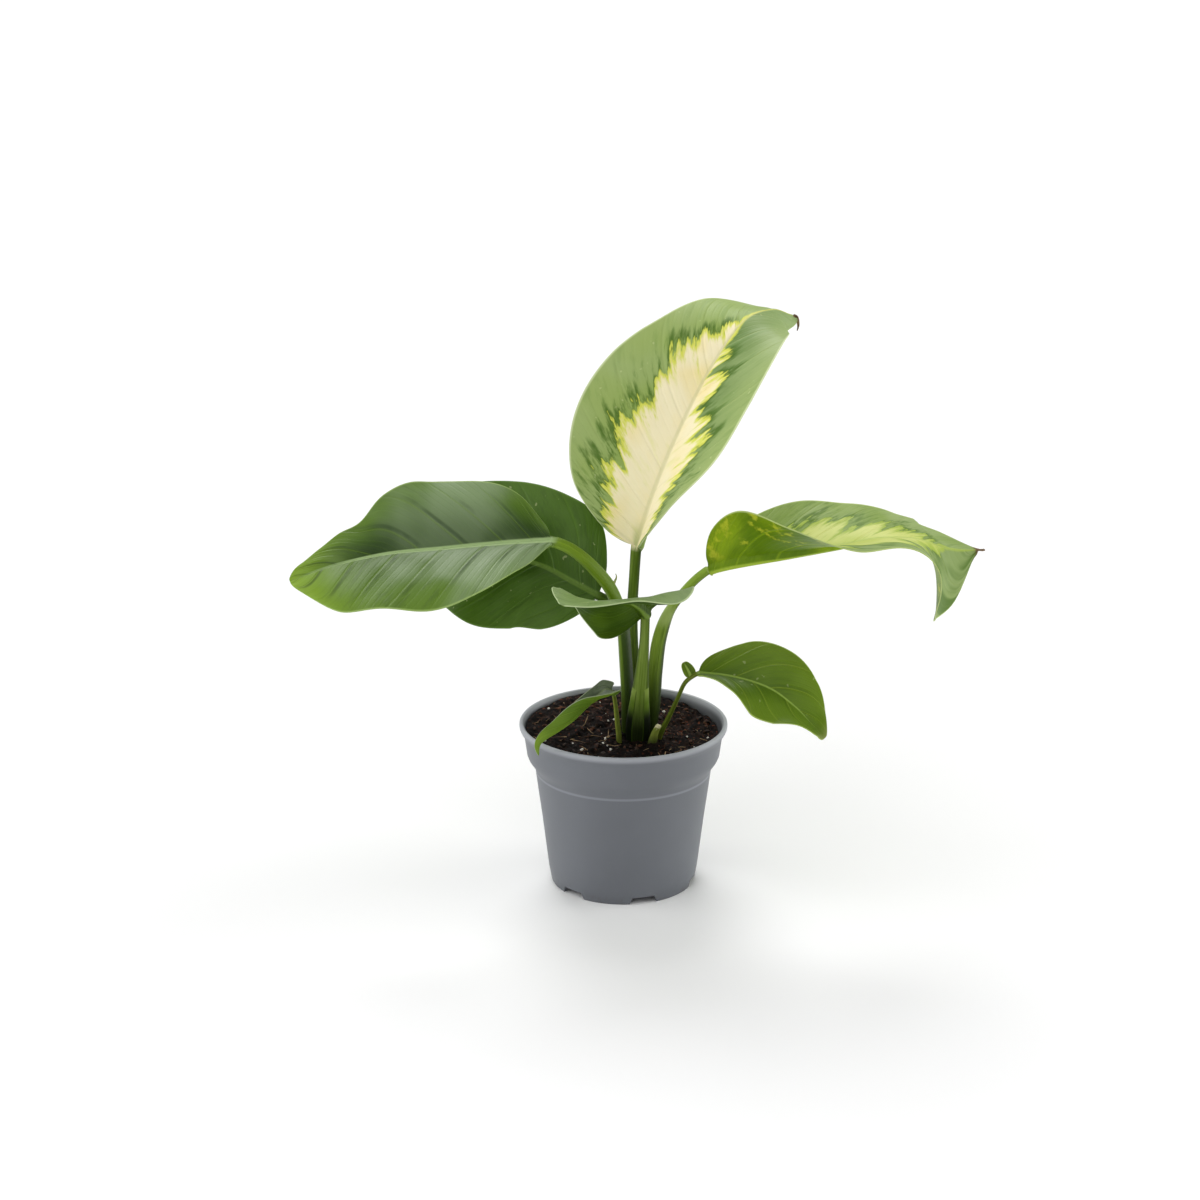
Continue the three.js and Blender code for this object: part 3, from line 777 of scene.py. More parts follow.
def read_marks(f, leaf, look):
    """All that the colours follow, worked out from the marks on the skin."""
    m = SimpleNamespace()
    m.side, m.turn, m.upper = f.mark("place")
    m.across, m.reach, m.stalk = f.mark("reach")
    m.share = m.side.size()
    m.right = m.side.rise(-0.01, 0.01)
    m.course = m.turn * leaf["veins"] - m.share * VEIN_SWEEP + m.right * 0.5
    m.vein = ridge(m.course).rise(0.88, 0.985) * (1 - m.share.rise(0.75, 1.0) * 0.6)
    m.fine_vein = ridge(m.course * 5).rise(0.55, 1.0)
    along_veins = f.vector(m.course * 2.6, m.across * 0.035, m.upper * 3 + m.right * 7 + look["seed"])
    m.streaks = f.clouds(along_veins, 2.2, 4.0, 0.6)
    along_veins = f.vector(m.course * 1.1, m.across * 0.016, m.right * 5 + look["seed"])
    m.long_streaks = f.clouds(along_veins, 2.0, 2.0, 0.5)
    m.blotches = f.clouds(f.place(), 42.0, 3.0, 0.5)
    m.broad = f.clouds(f.place(), look["patch_scale"], 2.0, 0.45)
    rib_width = leaf["thick"][-1] * (1.15 - 0.9 * m.turn) * look["rib_width"]
    m.rib = 1 - (m.across.size() / rib_width).rise(0.45, 1.0)
    m.rim = m.share.rise(0.972, 0.992) * (1 - m.stalk) * look["rim_share"]
    return m


# %% [markdown]
# The upper side starts as one middle green for each half. More colours of the leaf are laid over it
# like thin coats, each through a mask: lighter toward the margin, dark streaks along the veins, a painted
# sheen in broad patches, painted shade in the hollows beside the rib, the tip, the veins themselves and
# fine specks.


# %% Colour the upper side
def upper_side(f, look, m):
    """The upper side's green, with painted sheen, painted shade beside the rib, tip, veins and specks."""
    shade_beside_rib = (1 - m.share.rise(0.05, look["hollow_reach"])) * (0.55 + 0.45 * m.broad.rise(0.6, 0.4))
    strength = m.right * look["hollow_right"] + (1 - m.right) * look["hollow_left"]
    end = m.turn.rise(0.6, 0.74) * m.share.rise(0.15, 0.4) * m.right
    beside_vein = ridge(m.course + 0.1).rise(0.8, 0.97) * (1 - m.share.rise(0.4, 0.9))
    specks = f.clouds(f.place(), 330.0, 1.0, 0.4).rise(0.735, 0.765)
    return f.layers(
        f.mix(look["middle"], look["middle_right"], m.right),
        (look["light"], m.share.rise(0.3, 1.0) * look["margin_glow"]),
        (look["dark"], m.streaks.rise(0.47, 0.66) * look["streaking"]),
        # painted sheen: a paler grey-green in broad patches
        (look["sheen"], m.broad.rise(0.42, 0.62) * look["sheen_share"]),
        # painted shade in the hollows beside the rib
        (look["dark"], shade_beside_rib * (1 - m.turn.rise(0.55, 0.85)) * strength),
        (look["tip"], m.turn.rise(look["tip_from"], 0.98) * look["tip_share"]),
        (look["light"], m.vein * look["vein_light"]),
        (look["dark"], m.long_streaks.rise(0.42, 0.58) * end * look["end_streaks"]),
        (look["dark"], beside_vein * m.blotches.rise(0.38, 0.6) * look["vein_dark"]),
        (look["light"], m.fine_vein * 0.06),
        ("DDE3A8", specks * look["specks"]),
    )


# %% [markdown]
# A pale centre is laid over that green. Two lists say how far it reaches from the rib on either half,
# from base to tip, and the streaks push its edge back and forth, so that it ends in flames.


# %% Lay the pale centre
def lane(finish, turn, stops):
    """A value that changes from base to tip, as evenly spaced stops."""
    last = len(stops) - 1
    ramp = {"stops": [(k / last, (v, v, v, 1.0)) for k, v in enumerate(stops)]}
    return finish.node("ShaderNodeValToRGB", ramp, [turn])


def pale_centre(f, look, m, top):
    """The pale centre, with a fringe of flames and a darker green round it."""
    edge = f.mix(lane(f, m.turn, look["centre_left"]), lane(f, m.turn, look["centre_right"]), m.right)
    flame = (m.streaks - 0.5) * look["flame"] * 1.5 + (m.long_streaks - 0.5) * look["flame"] * 1.7
    inside = edge + flame * edge.rise(0.0, 0.12) - m.share
    halo = inside.rise(-0.3, -0.03) * m.streaks.rise(0.36, 0.54) * edge.rise(0.0, 0.1) * 0.85
    warmth = m.broad.rise(0.45, 0.68) * 0.8 + m.streaks.rise(0.5, 0.75) * 0.2
    core = inside.rise(0.01, look["fringe_reach"]) * (0.75 + 0.25 * m.streaks.rise(0.3, 0.5))
    base = (1 - m.turn.rise(0.06, 0.2)) * (1 - m.share.rise(0.05, 0.22)) * look["green_base"]
    return f.layers(
        top,
        (look["halo"], halo),
        (look["fringe"], inside.rise(-0.045, 0.01)),
        (f.mix(look["centre"], look["centre_warm"], warmth), core),
        (look["light"], base),
    )


# %% [markdown]
# The underside has two greens of its own in broad patches, darker streaks, pale veins and a pale rib,
# and on the right leaf yellow freckles.


# %% Colour the underside
def lower_side(f, look, m):
    """The underside with its streaks, veins, freckles and rib."""
    freckles = f.clouds(f.place(), 95.0, 4.0, 0.6).rise(0.53, 0.63) * m.share.rise(0.15, 0.45)
    return f.layers(
        f.mix(look["below"], look["below_light"], m.broad.rise(0.4, 0.65)),
        (look["below_dark"], m.streaks.rise(0.5, 0.75) * 0.35 + m.share.rise(0.6, 1.0) * look["below_edge"]),
        (look["below_light"], m.vein * 0.4 + m.fine_vein * 0.1),
        (look["spots"], freckles * look["spot_share"]),
        (look["rib_below"], m.rib),
        (look["rim"], m.rim),
    )


# %% [markdown]
# The stalk is streaked lengthwise. Painted shade darkens it toward the soil, at its edges or its back and
# low on its inner side, and painted light brightens its upper face. The front leaf's sheath ends at one
# height in a flap, and the right leaf's stalk has one pale patch.


# %% Colour the stalk
def stalk_colour(f, look, m):
    """The stalk: streaked along its fibres, painted lighter where lit and darker where in shade."""
    light, dark = look["stem_light"], look["stem_dark"]
    x, y, height = f.split(f.place())
    edge = m.side.size()
    tone = f.clouds(f.vector(m.across * 0.5, m.reach * 0.015, m.upper), 1.6, 3.0)
    fibre = f.clouds(f.vector(m.across * 2.2, m.reach * 0.02, m.upper * 3), 1.5, 3.0)
    low, high = look["dark_below"]
    stem = f.layers(
        f.mix(look["stem"], light, tone.rise(0.35, 0.65) * 0.6 + fibre.rise(0.5, 0.7) * 0.4),
        # painted light on the upper face, then painted shade at the edges, the back, low on the inner side
        # and toward the soil
        (light, m.upper.rise(0.35, 0.8) * look["lit_face"]),
        (dark, edge.rise(0.5, 1.0) * look["dark_edges"]),
        (dark, m.upper.rise(0.25, 0.05) * look["dark_back"]),
        (dark, m.upper.rise(0.4, 0.7) * height.rise(0.168, 0.15) * look["dark_inner"]),
        (look["foot"], height.rise(high, low) * look["foot_share"]),
    )
    if "sheath" in look:
        end = look["sheath"]
        seen = m.upper.rise(0.5, 0.4)
        flap = edge.rise(0.44, 0.5) * seen * (height + edge * -0.002).rise(end + 0.0003, end - 0.0003)
        # the flap too is painted darker toward the soil, as shade
        wrapped = f.mix(look["foot"], look["stem"], height.rise(0.098, end).rise(0.1, 0.7))
        wrapped = f.mix(wrapped, light, height.rise(end - 0.008, end) * 0.8)
        line = (1 - (edge - 0.47).size().rise(0.02, 0.06)) * seen
        line = line * height.rise(end + 0.001, end - 0.001) * 0.8
        stem = f.layers(stem, (wrapped, flap), (dark, line))
    if "patch" in look:
        px, py, pz, spread = look["patch"]
        away = ((x - px) ** 2 + (y - py) ** 2 + (height - pz) ** 2) ** 0.5
        stem = f.mix(stem, "AEC274", away.rise(spread, spread * 0.3) * 0.6)
    return stem


# %% Paint a whole leaf
def leaf_finish(leaf, look, piece):
    """Puts the sides, the rim and the stalk of one leaf together, with a fine relief."""
    look = {**PLAIN_LOOK, **{key: look[other] for key, other in SAME_AS.items()}, **look}
    f = Finish(leaf["name"] + "_finish", roughness=0.4, specular=look["shine"])
    m = read_marks(f, leaf, look)
    top = upper_side(f, look, m)
    if "centre" in look:
        top = pale_centre(f, look, m, top)
    rib = m.rib * look["rib_share"] * (1 - m.turn.rise(0.6, 0.95))
    top = f.layers(top, (look["rib"], rib), (look["rim"], m.rim))
    blade = f.mix(lower_side(f, look, m), top, m.upper.rise(0.4, 0.6))
    blade = f.mix(blade, "6E5636", m.turn.rise(look["dry_from"], look["dry_from"] + 0.02))
    f.paint(
        colour=f.mix(blade, stalk_colour(f, look, m), m.stalk),
        roughness=look["gloss"] + 0.14 * m.streaks + 0.06 * m.blotches,
    )
    grain = f.clouds(f.place(), 900.0, 2.0, 0.5)
    f.relief(grain * 0.25 - m.vein * 0.7 - m.fine_vein * 0.25 + m.streaks * 0.3, 0.0005, 0.55)
    f.on(piece)


# %% [markdown]
# ## The crown leaf
# The tallest leaf faces the camera. Its centre is cream with a yellow-green fringe, widest in the
# lower half of the blade and drawn out to a point near the tip, and a dry drip tip hangs at its end.

# %% Grow the crown leaf
CROWN = {
    "name": "leaf_crown", "veins": 9,
    "stalk": [[8, 5, 76.3], [8, 6, 90], [7.5, 6.5, 110], [5.5, 6.5, 138], [5, 4.5, 163], [6, 4, 184],
        [7, 4, 201]],
    "wide": [2.5, 3.4, 3.4, 3.3, 3.2, 3.1, 3.2], "thick": [1.9, 2.6, 2.6, 2.5, 2.4, 2.3, 2.4],
    "midrib": [[7, 4, 201], [18, 8, 235], [33, 18, 269], [50, 32, 299], [68, 48, 321], [85, 61, 325],
        [99, 69, 319]],
    "face": [[-4, -9, 3], [-4, -8, 4], [-3, -7, 6], [-2, -5, 8], [-1, -4, 9]],
    "left": [3, 25, 48, 58, 55, 40, 28, 6, 0.6], "right": [3, 10, 24, 44, 44, 37, 24, 11, 0.6],
    "left_tilt": [20, 20, 20, 20, 18, 10, -15, -30, -30],
    "right_tilt": [50, 50, 40, 32, 24, 10, -10, -25, -30], "left_curl": [8, 0], "right_curl": [12, 0],
    "sweep": [0, 0, 0, 5, 15], "wave": [1, 3, 0.1],
}
crown_look = {
    "light": "A9BC74", "middle": "93AC54", "middle_right": "819A5C", "dark": "55802A", "tip": "A0B878",
    "tip_share": 0.6, "sheen": "A9BC80", "sheen_share": 0.35, "streaking": 0.22, "specks": 0.35,
    "vein_dark": 0.12, "hollow_left": 0.2, "centre": "FFF4CC", "centre_warm": "FBE8A0",
    "fringe": "DDE05A", "flame": 0.5, "halo": "3F6606",
    "centre_left": [0.85, 0.82, 0.68, 0.6, 0.54, 0.45, 0.38, 0.03, 0.0, 0.0, 0.0],
    "centre_right": [0.5, 0.72, 0.62, 0.52, 0.42, 0.18, 0.09, 0.0, 0.0, 0.0, 0.0], "rib": "D9D49C",
    "rib_share": 0.45, "rim": "DCE6B4", "rim_share": 0.8, "seed": 1.3, "green_base": 0.8,
    "below": "86A04A", "below_light": "A9BC6E", "below_dark": "668A34", "rib_below": "A9BF62",
    "shine": 0.2, "stem": "506A0C", "stem_light": "7C9632", "stem_dark": "2A4008", "foot": "1E2C08",
    "dark_below": (0.1, 0.15),
}
leaf_finish(CROWN, crown_look, grow(CROWN))

# %% [markdown]
# ## The left leaf
# This leaf lies almost flat toward the left. It is plain green with a painted grey sheen, a raised pale
# rib, painted shade beside the rib and a yellow-green tip, painted as light shining through it. Its
# stalk is broad, channelled and bright.

# %% Grow the left leaf
LEFT = {
    "name": "leaf_left", "veins": 9,
    "stalk": [[3.5, -0.5, 76.3], [2.5, 0, 90], [2.5, -0.5, 110], [1, -2, 138], [-1, -6, 160],
        [-7, -10, 179], [-17, -12, 193], [-29, -13, 204], [-41, -14, 210]],
    "wide": [3.1, 4.3, 4.5, 4.6, 4.5, 4.5, 4.4, 3.9, 3.3],
    "thick": [2.8, 3.4, 3.5, 3.5, 3.3, 3.1, 3, 2.8, 2.6],
    "midrib": [[-41, -14, 210], [-69, -20, 210], [-102, -27, 209], [-132, -34, 208], [-162, -41, 203],
        [-184, -46, 196]],
    "face": [[0, -6, 8], [0, -6, 8]], "left": [3, 8, 21, 37, 45, 41, 36, 13, 0.6],
    "right": [3, 11, 19, 28, 35, 40, 43, 44.5, 44, 36, 22, 19, 14, 9, 6, 3, 0.6], "left_tilt": [8, 8],
    "right_tilt": [8, 8], "left_curl": [-8, -8], "right_curl": [-12, -12], "sweep": [0, 0],
    "wave": [2, 3, 0.2],
}
left_look = {
    # the tip colour is painted light shining through the leaf, and the sheen is painted
    "light": "6A8A26", "middle": "5C7A2C", "middle_right": "4C6C1A", "dark": "1A3404", "tip": "8CAE22",
    "tip_share": 0.9, "tip_from": 0.62, "sheen": "8CA078", "sheen_share": 0.75, "patch_scale": 17.0,
    "streaking": 0.26, "margin_glow": 0.4, "hollow_right": 1.0, "hollow_left": 0.3, "hollow_reach": 0.85,
    "vein_dark": 0.55, "vein_light": 0.25, "seed": 4.1, "rib": "A4BE80", "rib_share": 1.0,
    "rib_width": 0.9, "rim": "A9C470", "rim_share": 0.6, "gloss": 0.27, "shine": 0.25, "below": "5F8428",
    "below_light": "87A944", "below_dark": "3C5A14", "rib_below": "86A544", "stem": "5C780E",
    "stem_light": "86A628", "stem_dark": "304808", "foot": "26350A", "dark_below": (0.096, 0.14),
    "foot_share": 0.95, "lit_face": 0.3, "dark_edges": 0.1, "dark_back": 0.4, "dark_inner": 0.95,
}
leaf_finish(LEFT, left_look, grow(LEFT))

# %% [markdown]
# ## The leaf behind
# Half covered by the left leaf, this one is in its shade: dark green, almost even, with a few paler
# specks.

# %% Grow the leaf behind
BEHIND = {
    "name": "leaf_behind", "veins": 8,
    "stalk": [[3.6, 7.6, 76.3], [2.6, 10.5, 90], [2, 12, 106], [0.5, 11, 137], [-3, 7, 157], [-8, 2, 168],
        [-15, -2, 174]],
    "wide": [1.9, 3, 3.1, 3, 2.9, 2.8, 2.6], "thick": [1.8, 2.6, 2.7, 2.6, 2.5, 2.4, 2.2],
    "midrib": [[-15, -2, 174], [-31, 4, 181], [-47, 12, 187], [-71, 24, 190], [-100, 38, 191],
        [-131, 50, 187]],
    "face": [[0, -8, 5], [0, -8, 5]], "left": [2.6, 18, 34, 42, 45, 37, 27, 13, 0.6],
    "right": [2.6, 20, 38, 44, 45, 40, 30, 14, 0.6], "left_tilt": [2, 2], "right_tilt": [2, 2],
    "left_curl": [-6, -6], "right_curl": [-6, -6], "sweep": [0, 0], "wave": [1.2, 2, 0.3],
}
behind_look = {
    "light": "587A1E", "middle": "3A580A", "dark": "213A04", "tip": "4A6C18", "seed": 8.7, "specks": 0.25,
    "sheen": "5E7A3C", "sheen_share": 0.35, "rib": "6A8638", "rib_share": 0.8, "rim": "6F9440",
    "rim_share": 0.5, "streaking": 0.3, "margin_glow": 0.3, "vein_dark": 0.3, "gloss": 0.34,
    "shine": 0.15, "below": "40600E", "below_light": "5E7E22", "below_dark": "284008",
    "rib_below": "6F9440", "stem": "3E560A", "stem_light": "5E7A22", "stem_dark": "22340A",
    "foot": "1E2C08", "dark_below": (0.1, 0.14),
}
leaf_finish(BEHIND, behind_look, grow(BEHIND))

# %% [markdown]
# ## The front leaf
# The front leaf is cupped and comes toward the camera, so it shows its dull green underside below a
# grey-green rim; that underside's dark green is partly painted shade. It stands on the broadest stalk,
# which is winged by the sheath of the leaf inside it.

# %% Grow the front leaf
FRONT = {
    "name": "leaf_front", "veins": 6,
    "stalk": [[8, -7, 76.3], [8, -9.5, 90], [9, -11.5, 112], [10.3, -15, 132], [11.5, -19.5, 152],
        [12, -22, 170]],
    "wide": [4, 7, 5.5, 3.8, 2.8, 2.6], "thick": [3, 5, 4, 2.6, 2.4, 2.2],
    "midrib": [[12, -22, 170], [8, -30, 177], [3, -39, 183], [-4, -50, 187], [-13, -62, 190],
        [-24, -76, 193], [-33, -87, 195.5]],
    "face": [[0, 5, 8], [0, 5, 8], [0, 2, 9], [-1, 1, 9], [-2, 0, 9]],
    "left": [2.4, 10, 24, 38, 40, 30, 20, 11, 0.6], "right": [2.4, 19, 31, 34, 31, 23, 17, 14, 3],
    "left_tilt": [40, 32, 20, 8, 0, 2, 0, 0, 0], "right_tilt": [-15, -20, -24, -24, -10, 15, 32, 40, 30],
    "left_curl": [5, 5], "right_curl": [14, 14, 14, 14, 10, 20, 20],
    "sweep": [-45, -36, -22, -10, 0, 0, 0], "wave": [0.8, 2, 0],
}
front_look = {
    "light": "8CA070", "middle": "76904E", "dark": "54703A", "tip": "93A878", "seed": 2.2,
    "rib": "9DB274", "rib_share": 0.5, "rim": "B9CB96", "rim_share": 0.9, "streaking": 0.2,
    # the underside greens are dark partly as painted shade
    "margin_glow": 0.5, "below": "304A04", "below_light": "4A660A", "below_dark": "1E3202",
    "rib_below": "6E8A34", "gloss": 0.42, "shine": 0.12, "stem": "5E7820", "stem_light": "8CA24A",
    "stem_dark": "34480C", "foot": "0E1705", "dark_below": (0.095, 0.122), "foot_share": 0.95,
    "sheath": 0.1205,
}
leaf_finish(FRONT, front_look, grow(FRONT))

# %% [markdown]
# ## The right leaf
# The longest leaf arches to the right. At its base the near half stands up and shows its bright
# underside, in the middle the blade is flat with yellow marks along the rib, and its end folds down.

# %% Grow the right leaf
RIGHT = {
    "name": "leaf_right", "veins": 8,
    "stalk": [[12.5, 0, 76.3], [15.5, 1, 90], [17, 0, 110], [18, -1, 128], [20, -3, 147], [25, -6, 164],
        [33, -9, 177], [41, -12, 187], [49, -14, 194]],
    "wide": [2.8, 4.2, 4.4, 4.6, 4.9, 4.6, 3.4, 3, 2.8],
    "thick": [2.8, 3.6, 4.4, 4.4, 4.4, 4, 2.8, 2.6, 2.5],
    "midrib": [[49, -14, 194], [70, -20, 200], [95, -24, 206], [120, -26, 211], [142, -26, 215],
        [161, -24, 214], [177, -19, 208], [188, -13, 204], [203, -6, 202]],
    "face": [[0, -1.5, 10], [0, -1.5, 10], [0, -1.5, 10], [0.5, -1, 10], [1, -1, 10]],
    "left": [2.8, 20, 34, 42, 44, 42, 34, 3.5, 0.6],
    "right": [2.8, 13, 22, 28.5, 34, 37.5, 40, 41.5, 42, 42, 42, 42.5, 42, 33, 3.5, 1, 0.6],
    "left_tilt": [30, 28, 22, 16, 4, -2, 4, 0, -5], "right_tilt": [60, 82, 78, 45, 20, 8, -75, -85, -60],
    "left_curl": [0, 0], "right_curl": [20, 20, 10, 0, -4, -6, -10], "sweep": [-10, 0, 0, 0, 0],
    "wave": [0.8, 2, 0.4],
}
right_look = {
    "light": "A0B468", "middle": "849E4A", "middle_right": "7A9448", "dark": "4E7020", "tip": "7A9448",
    "tip_share": 0.3, "sheen": "A3B57A", "sheen_share": 0.5, "vein_dark": 0.25, "streaking": 0.3,
    "margin_glow": 0.4, "seed": 5.9, "centre": "D6DC84", "centre_warm": "BECC60", "fringe": "A6BC4A",
    "flame": 0.75, "halo": "55761C", "fringe_reach": 0.25,
    "centre_left": [0.0, 0.0, 0.0, 0.05, 0.15, 0.25, 0.45, 0.65, 0.5, 0.42, 0.35, 0.12, 0.0, 0.0, 0.0,
        0.0, 0.0],
    "centre_right": [0.0, 0.0, 0.05, 0.15, 0.3, 0.45, 0.65, 0.75, 0.6, 0.55, 0.4, 0.1, 0.0, 0.0, 0.0, 0.0,
        0.0],
    "rib": "B4C86A", "rib_share": 0.6, "rim": "BECF82", "rim_share": 0.8, "dry_from": 0.865,
    "end_streaks": 0.8, "below": "5C7C06", "below_light": "88A412", "below_dark": "3F5C02",
    "rib_below": "A3BC3A", "gloss": 0.36, "shine": 0.15, "spots": "B9C030", "spot_share": 0.75,
    "below_edge": 0.3, "stem": "5C7814", "stem_light": "8CA83A", "stem_dark": "2A3E06", "foot": "1E2C08",
    "dark_below": (0.096, 0.15), "foot_share": 0.95, "lit_face": 0.8, "dark_edges": 0.0, "dark_back": 0.8,
    "patch": (0.022, -0.01, 0.165, 0.011),
}
leaf_finish(RIGHT, right_look, grow(RIGHT))

# %% [markdown]
# ## The two low leaves
# A small plain leaf leans out to the right on a thin stalk, and a smaller one, folded lengthwise,
# hangs over the rim at the left.

# %% Grow the low right leaf
LOW_RIGHT = {
    "name": "leaf_low_right", "veins": 6,
    "stalk": [[19, -10, 72], [19.5, -10, 88], [26, -14, 105], [30.5, -20, 118], [34, -24, 128],
        [37.5, -27, 133], [42, -30, 137]],
    "wide": [2, 2.4, 1.8, 1.4, 1.3, 1.3, 1.4], "thick": [2, 2.2, 1.6, 1.3, 1.2, 1.2, 1.2],
    "midrib": [[42, -30, 137], [60, -36, 137], [80, -43, 133], [94, -50, 125], [104, -56, 116],
        [111, -60, 109]],
    "face": [[0, -7, 7], [0, -7, 7], [2, -7, 6]], "left": [1.4, 9, 16, 24, 25, 20, 12, 5, 0.6],
    "right": [1.4, 5, 8, 19, 25, 20, 11, 5, 0.6], "left_tilt": [5, 5],
    "right_tilt": [50, 48, 40, 38, 22, 20, 40, 40, 40], "left_curl": [-8, -8], "right_curl": [6, 6],
    "sweep": [0, 0], "wave": [0.8, 2, 0.2],
    "ear": {
        "veins": 2, "stalk": [[38.2, -27.6, 132.6], [37.9, -27.7, 133.4], [37.6, -27.8, 134.2]],
        "wide": [0.8, 0.9, 1], "thick": [0.6, 0.6, 0.6],
        "midrib": [[37.6, -27.8, 134.2], [36, -27.8, 137.8], [33.6, -27.5, 142.4]],
        "face": [[0, -9, 3], [0, -9, 3]], "left": [1.3, 2.8, 3, 2.2, 0.6],
        "right": [1.3, 3.6, 3.6, 2.4, 0.6], "left_tilt": [10, 10], "right_tilt": [10, 10],
        "left_curl": [0, 0], "right_curl": [0, 0], "sweep": [0, 0], "wave": [0, 1, 0],
    },
}
low_right_look = {
    "light": "82982A", "middle": "58740A", "middle_right": "4E6A0E", "dark": "34500A", "tip": "949C58",
    "tip_share": 0.75, "tip_from": 0.8, "seed": 3.3, "specks": 0.2, "sheen": "6E8A26", "sheen_share": 0.5,
    "vein_light": 0.45, "vein_dark": 0.3, "rib": "96B24E", "rib_share": 0.85, "rim": "A9BE62",
    "rim_share": 0.8, "streaking": 0.2, "margin_glow": 0.2, "below": "5E7E1C", "below_light": "82A034",
    "below_dark": "3E5E10", "rib_below": "9DB85A", "gloss": 0.32, "shine": 0.17, "stem": "5C6E16",
    "stem_light": "8C9A3A", "stem_dark": "36460C", "foot": "565A1C", "dark_below": (0.089, 0.096),
}
leaf_finish(LOW_RIGHT, low_right_look, grow(LOW_RIGHT))

# %% Grow the low left leaf
LOW_LEFT = {
    "name": "leaf_low_left", "veins": 6,
    "stalk": [[-3, -13, 72], [-2.5, -13, 90], [-3.5, -13, 101], [-4.5, -14, 111], [-5.5, -15.5, 118],
        [-7, -18, 122]],
    "wide": [1.9, 2, 1.9, 1.8, 1.5, 1.3], "thick": [1.7, 1.7, 1.6, 1.4, 1.2, 1.1],
    "midrib": [[-7, -18, 122], [-10, -21, 124], [-15, -27, 122], [-22, -32, 117], [-29, -37, 111],
        [-37, -41, 106], [-43, -44, 103], [-47, -46.5, 100], [-48, -47, 94]],
    "face": [[-3, -6, 7], [-5, -3, 8], [-6, 0, 8], [-8, 0, 6], [-9, 0, 3]],
    "left": [1.3, 5, 12, 14, 11, 8, 6, 3, 0.6], "right": [1.3, 7, 6, 6, 6.5, 6.5, 5, 3, 0.6],
    "left_tilt": [0, -5, 5, 35, 60, 64, 60, 50, 50], "right_tilt": [10, 20, 40, 60, 66, 66, 60, 50, 50],
    "left_curl": [10, 30, 30], "right_curl": [10, 30, 30], "sweep": [-40, -20, 0, 0, 0],
    "wave": [0.6, 2, 0],
}
low_left_look = {
    # the grey greens of the upper side are the leaf's green with a painted sheen
    "light": "7C886C", "middle": "5E6A52", "dark": "444F3A", "tip": "5E7A1E", "tip_share": 0.9,
    "tip_from": 0.35, "seed": 7.7, "rib": "7C8A58", "rib_share": 0.5, "rim": "9AA686", "rim_share": 0.7,
    "streaking": 0.3, "margin_glow": 0.4, "below": "56741A", "below_light": "84A22E",
    "below_dark": "34500A", "rib_below": "7C9A38", "gloss": 0.42, "shine": 0.2, "stem": "7C8A2A",
    "stem_light": "A3AE4A", "stem_dark": "4A581A", "foot": "565C20", "dark_below": (0.089, 0.096),
}
leaf_finish(LOW_LEFT, low_left_look, grow(LOW_LEFT))

# %% [markdown]
# ## Dry tip, cut stub and frayed sheath
# Three small marks of a grown plant: the crown leaf ends in a dry brown thread where water dripped from
# it, beside the low right stalk stands the stub of a leaf that was cut away, and a shred of dry sheath
# hangs on the left leaf's stalk. Each is a short tube or strip that is rolled like the leaves.


# %% Roll the small pieces
TAPER_ROWS = 24
TAPER_AROUND = 16


def taper(name, points, widths, flat=1.0, ragged=0.0):
    """A short stem through points, as wide as widths says, with an uneven end where it is ragged."""
    path = Path(points)

    def place(k, row):
        share = row / TAPER_ROWS
        forward = path.way(share)
        across = forward.cross(Vector((0, 1, 0))).normalized()
        up = across.cross(forward)
        angle = 2 * math.pi * k / TAPER_AROUND
        width = along(widths, share)
        point = path.at(share) + across * (width * math.cos(angle)) + up * (width * flat * math.sin(angle))
        if row == TAPER_ROWS and ragged:
            point += forward * ragged * noise.noise(Vector((k * 1.7, 3, 1)))
        return point

    piece = roll(name, TAPER_AROUND, TAPER_ROWS, place, angle=50)
    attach(piece, "root")
    return piece


dry_tip = taper(
    "crown_dry_tip",
    [(97.5, 68, 319.4), (99.3, 68.6, 318.6), (100.4, 68.4, 316), (100.6, 68.2, 313.5), (100, 68, 311)],
    [1.6, 1.3, 0.9, 0.6, 0.25],
    0.45,
)
stub = taper(
    "cut_stub",
    [(16.2, -16.2, 84), (16.6, -16.4, 90), (18, -16.8, 96), (20, -17, 100.5)],
    [2.9, 2.7, 2.1, 1.5],
    0.75,
    1.6,
)
shred = taper(
    "sheath_shred",
    [(-6.5, -9, 181), (-5.2, -8.8, 184), (-4.2, -8.6, 186.5), (-4.6, -8.4, 188.5)],
    [0.9, 0.8, 0.5, 0.2],
    0.3,
    0.5,
)

# %% Finish the small pieces
dry = Finish("dry_leaf_brown", roughness=0.8, specular=0.2)
tone = dry.clouds(dry.place(), 700.0, 3.0, 0.6)
colour = dry.mix("4A3826", "8A7350", tone.rise(0.4, 0.65))
dry.paint(colour=colour, roughness=0.7 + 0.2 * tone)
dry.relief(tone, 0.0003, 0.6)
dry.on(dry_tip)

cut_green = Finish("cut_stub_green", roughness=0.6, specular=0.2)
spot = cut_green.place()
_, _, z = cut_green.split(spot)
tone = cut_green.clouds(spot, 500.0, 3.0, 0.6)
colour = cut_green.mix("2E380E", "7E8A34", z.rise(0.0895, 0.0965) * 0.8 + tone * 0.2)
colour = cut_green.mix(colour, "E3DCAE", (z + tone * 0.006).rise(0.1012, 0.1032))
cut_green.paint(colour=colour, roughness=0.5 + 0.3 * tone)
cut_green.relief(tone, 0.0004, 0.6)
cut_green.on(stub)

shred_pale = Finish("sheath_shred_pale", roughness=0.7, specular=0.2)
tone = shred_pale.clouds(shred_pale.place(), 600.0, 3.0, 0.6)
colour = shred_pale.mix("7E8E3A", "C6C890", tone.rise(0.35, 0.65))
shred_pale.paint(colour=colour, roughness=0.6 + 0.3 * tone)
shred_pale.relief(tone, 0.0003, 0.6)
shred_pale.on(shred)

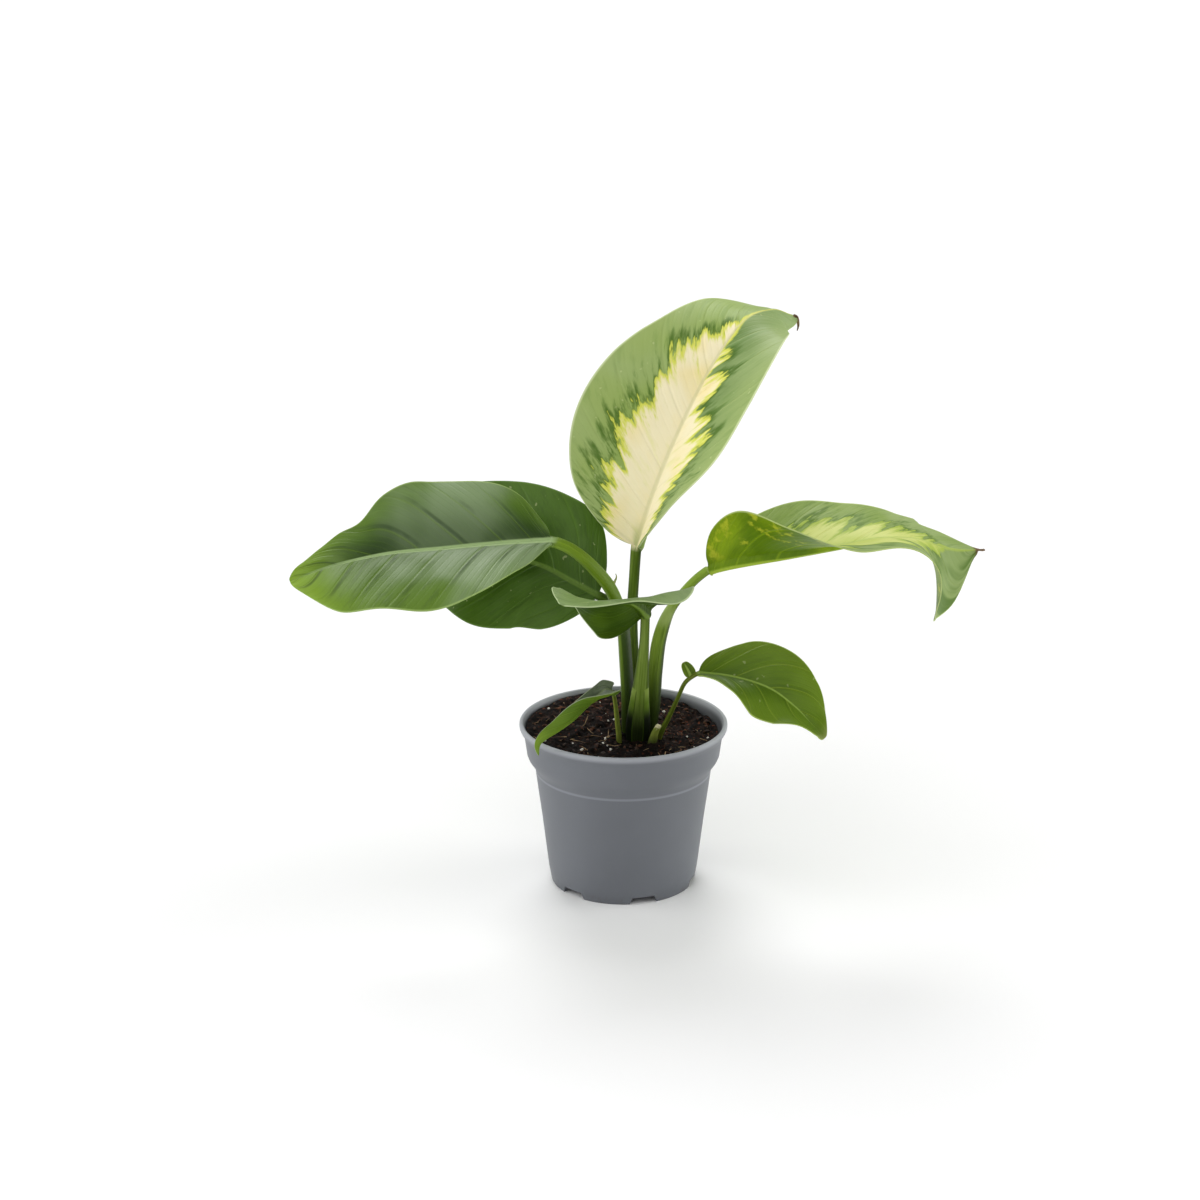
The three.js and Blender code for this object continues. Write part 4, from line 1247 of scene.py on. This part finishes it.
# %% [markdown]
# ## Floor, light and camera
# The plant stands on a plain white floor under soft studio light: one lamp above and behind, a broad
# one from the front left, one low from each side, of which the right one is the strongest of all and
# brightens the pot's edge, and a weak even surround. The camera looks down a little, from the same
# distance and height as the photograph was taken, as near as these could be worked out.

# %% Lay the floor
start()
bpy.ops.mesh.primitive_plane_add(size=60)
floor = bpy.context.object
floor.name = "floor"
paper = Finish("white_floor", roughness=0.9, specular=0.1)
spot = paper.place()
paper.paint(colour=paper.mix("FBFBFB", "FEFEFE", paper.clouds(spot, 3.0, 2.0)))
paper.on(floor)

# %% Set the light
world = bpy.data.worlds.new("studio")
bpy.context.scene.world = world
world.use_nodes = True
surround = world.node_tree.nodes["Background"]
surround.inputs["Color"].default_value = (1.0, 1.0, 1.0, 1.0)
surround.inputs["Strength"].default_value = 0.34


def broad_sun(name, place, strength, angle):
    """Even light from one side of the room, as from a lit wall or ceiling."""
    start()
    bpy.ops.object.light_add(type="SUN", location=place)
    lamp = bpy.context.object
    lamp.name = name
    lamp.data.energy = strength
    lamp.data.angle = math.radians(angle)
    lamp.rotation_euler = (-Vector(place)).to_track_quat("-Z", "Y").to_euler()


broad_sun("ceiling", (-0.1, 0.65, 0.8), 1.42, 34)
broad_sun("front_box", (-0.3, -0.6, 0.74), 0.95, 60)
broad_sun("left_box", (-1, 0.1, 0.2), 1.15, 40)
broad_sun("right_box", (1, 0.1, 0.2), 1.6, 44)

# %% Place the camera
CAMERA_PLACE = (-0.013475, -1.5101, 0.6664)
CAMERA_PITCH = 18.19  # degrees below level

start()
bpy.ops.object.camera_add(location=CAMERA_PLACE, rotation=(math.radians(90 - CAMERA_PITCH), 0, 0))
camera = bpy.context.object
camera.data.sensor_width = 36
camera.data.lens = 83.9
camera.data.clip_end = 100
bpy.context.scene.camera = camera
bpy.context.scene.view_settings.view_transform = "Standard"

# %% [markdown]
# ## Last update
# The view layer is brought up to date, so that every piece stands where it was put.

# %% Update the view layer
bpy.context.view_layer.update()
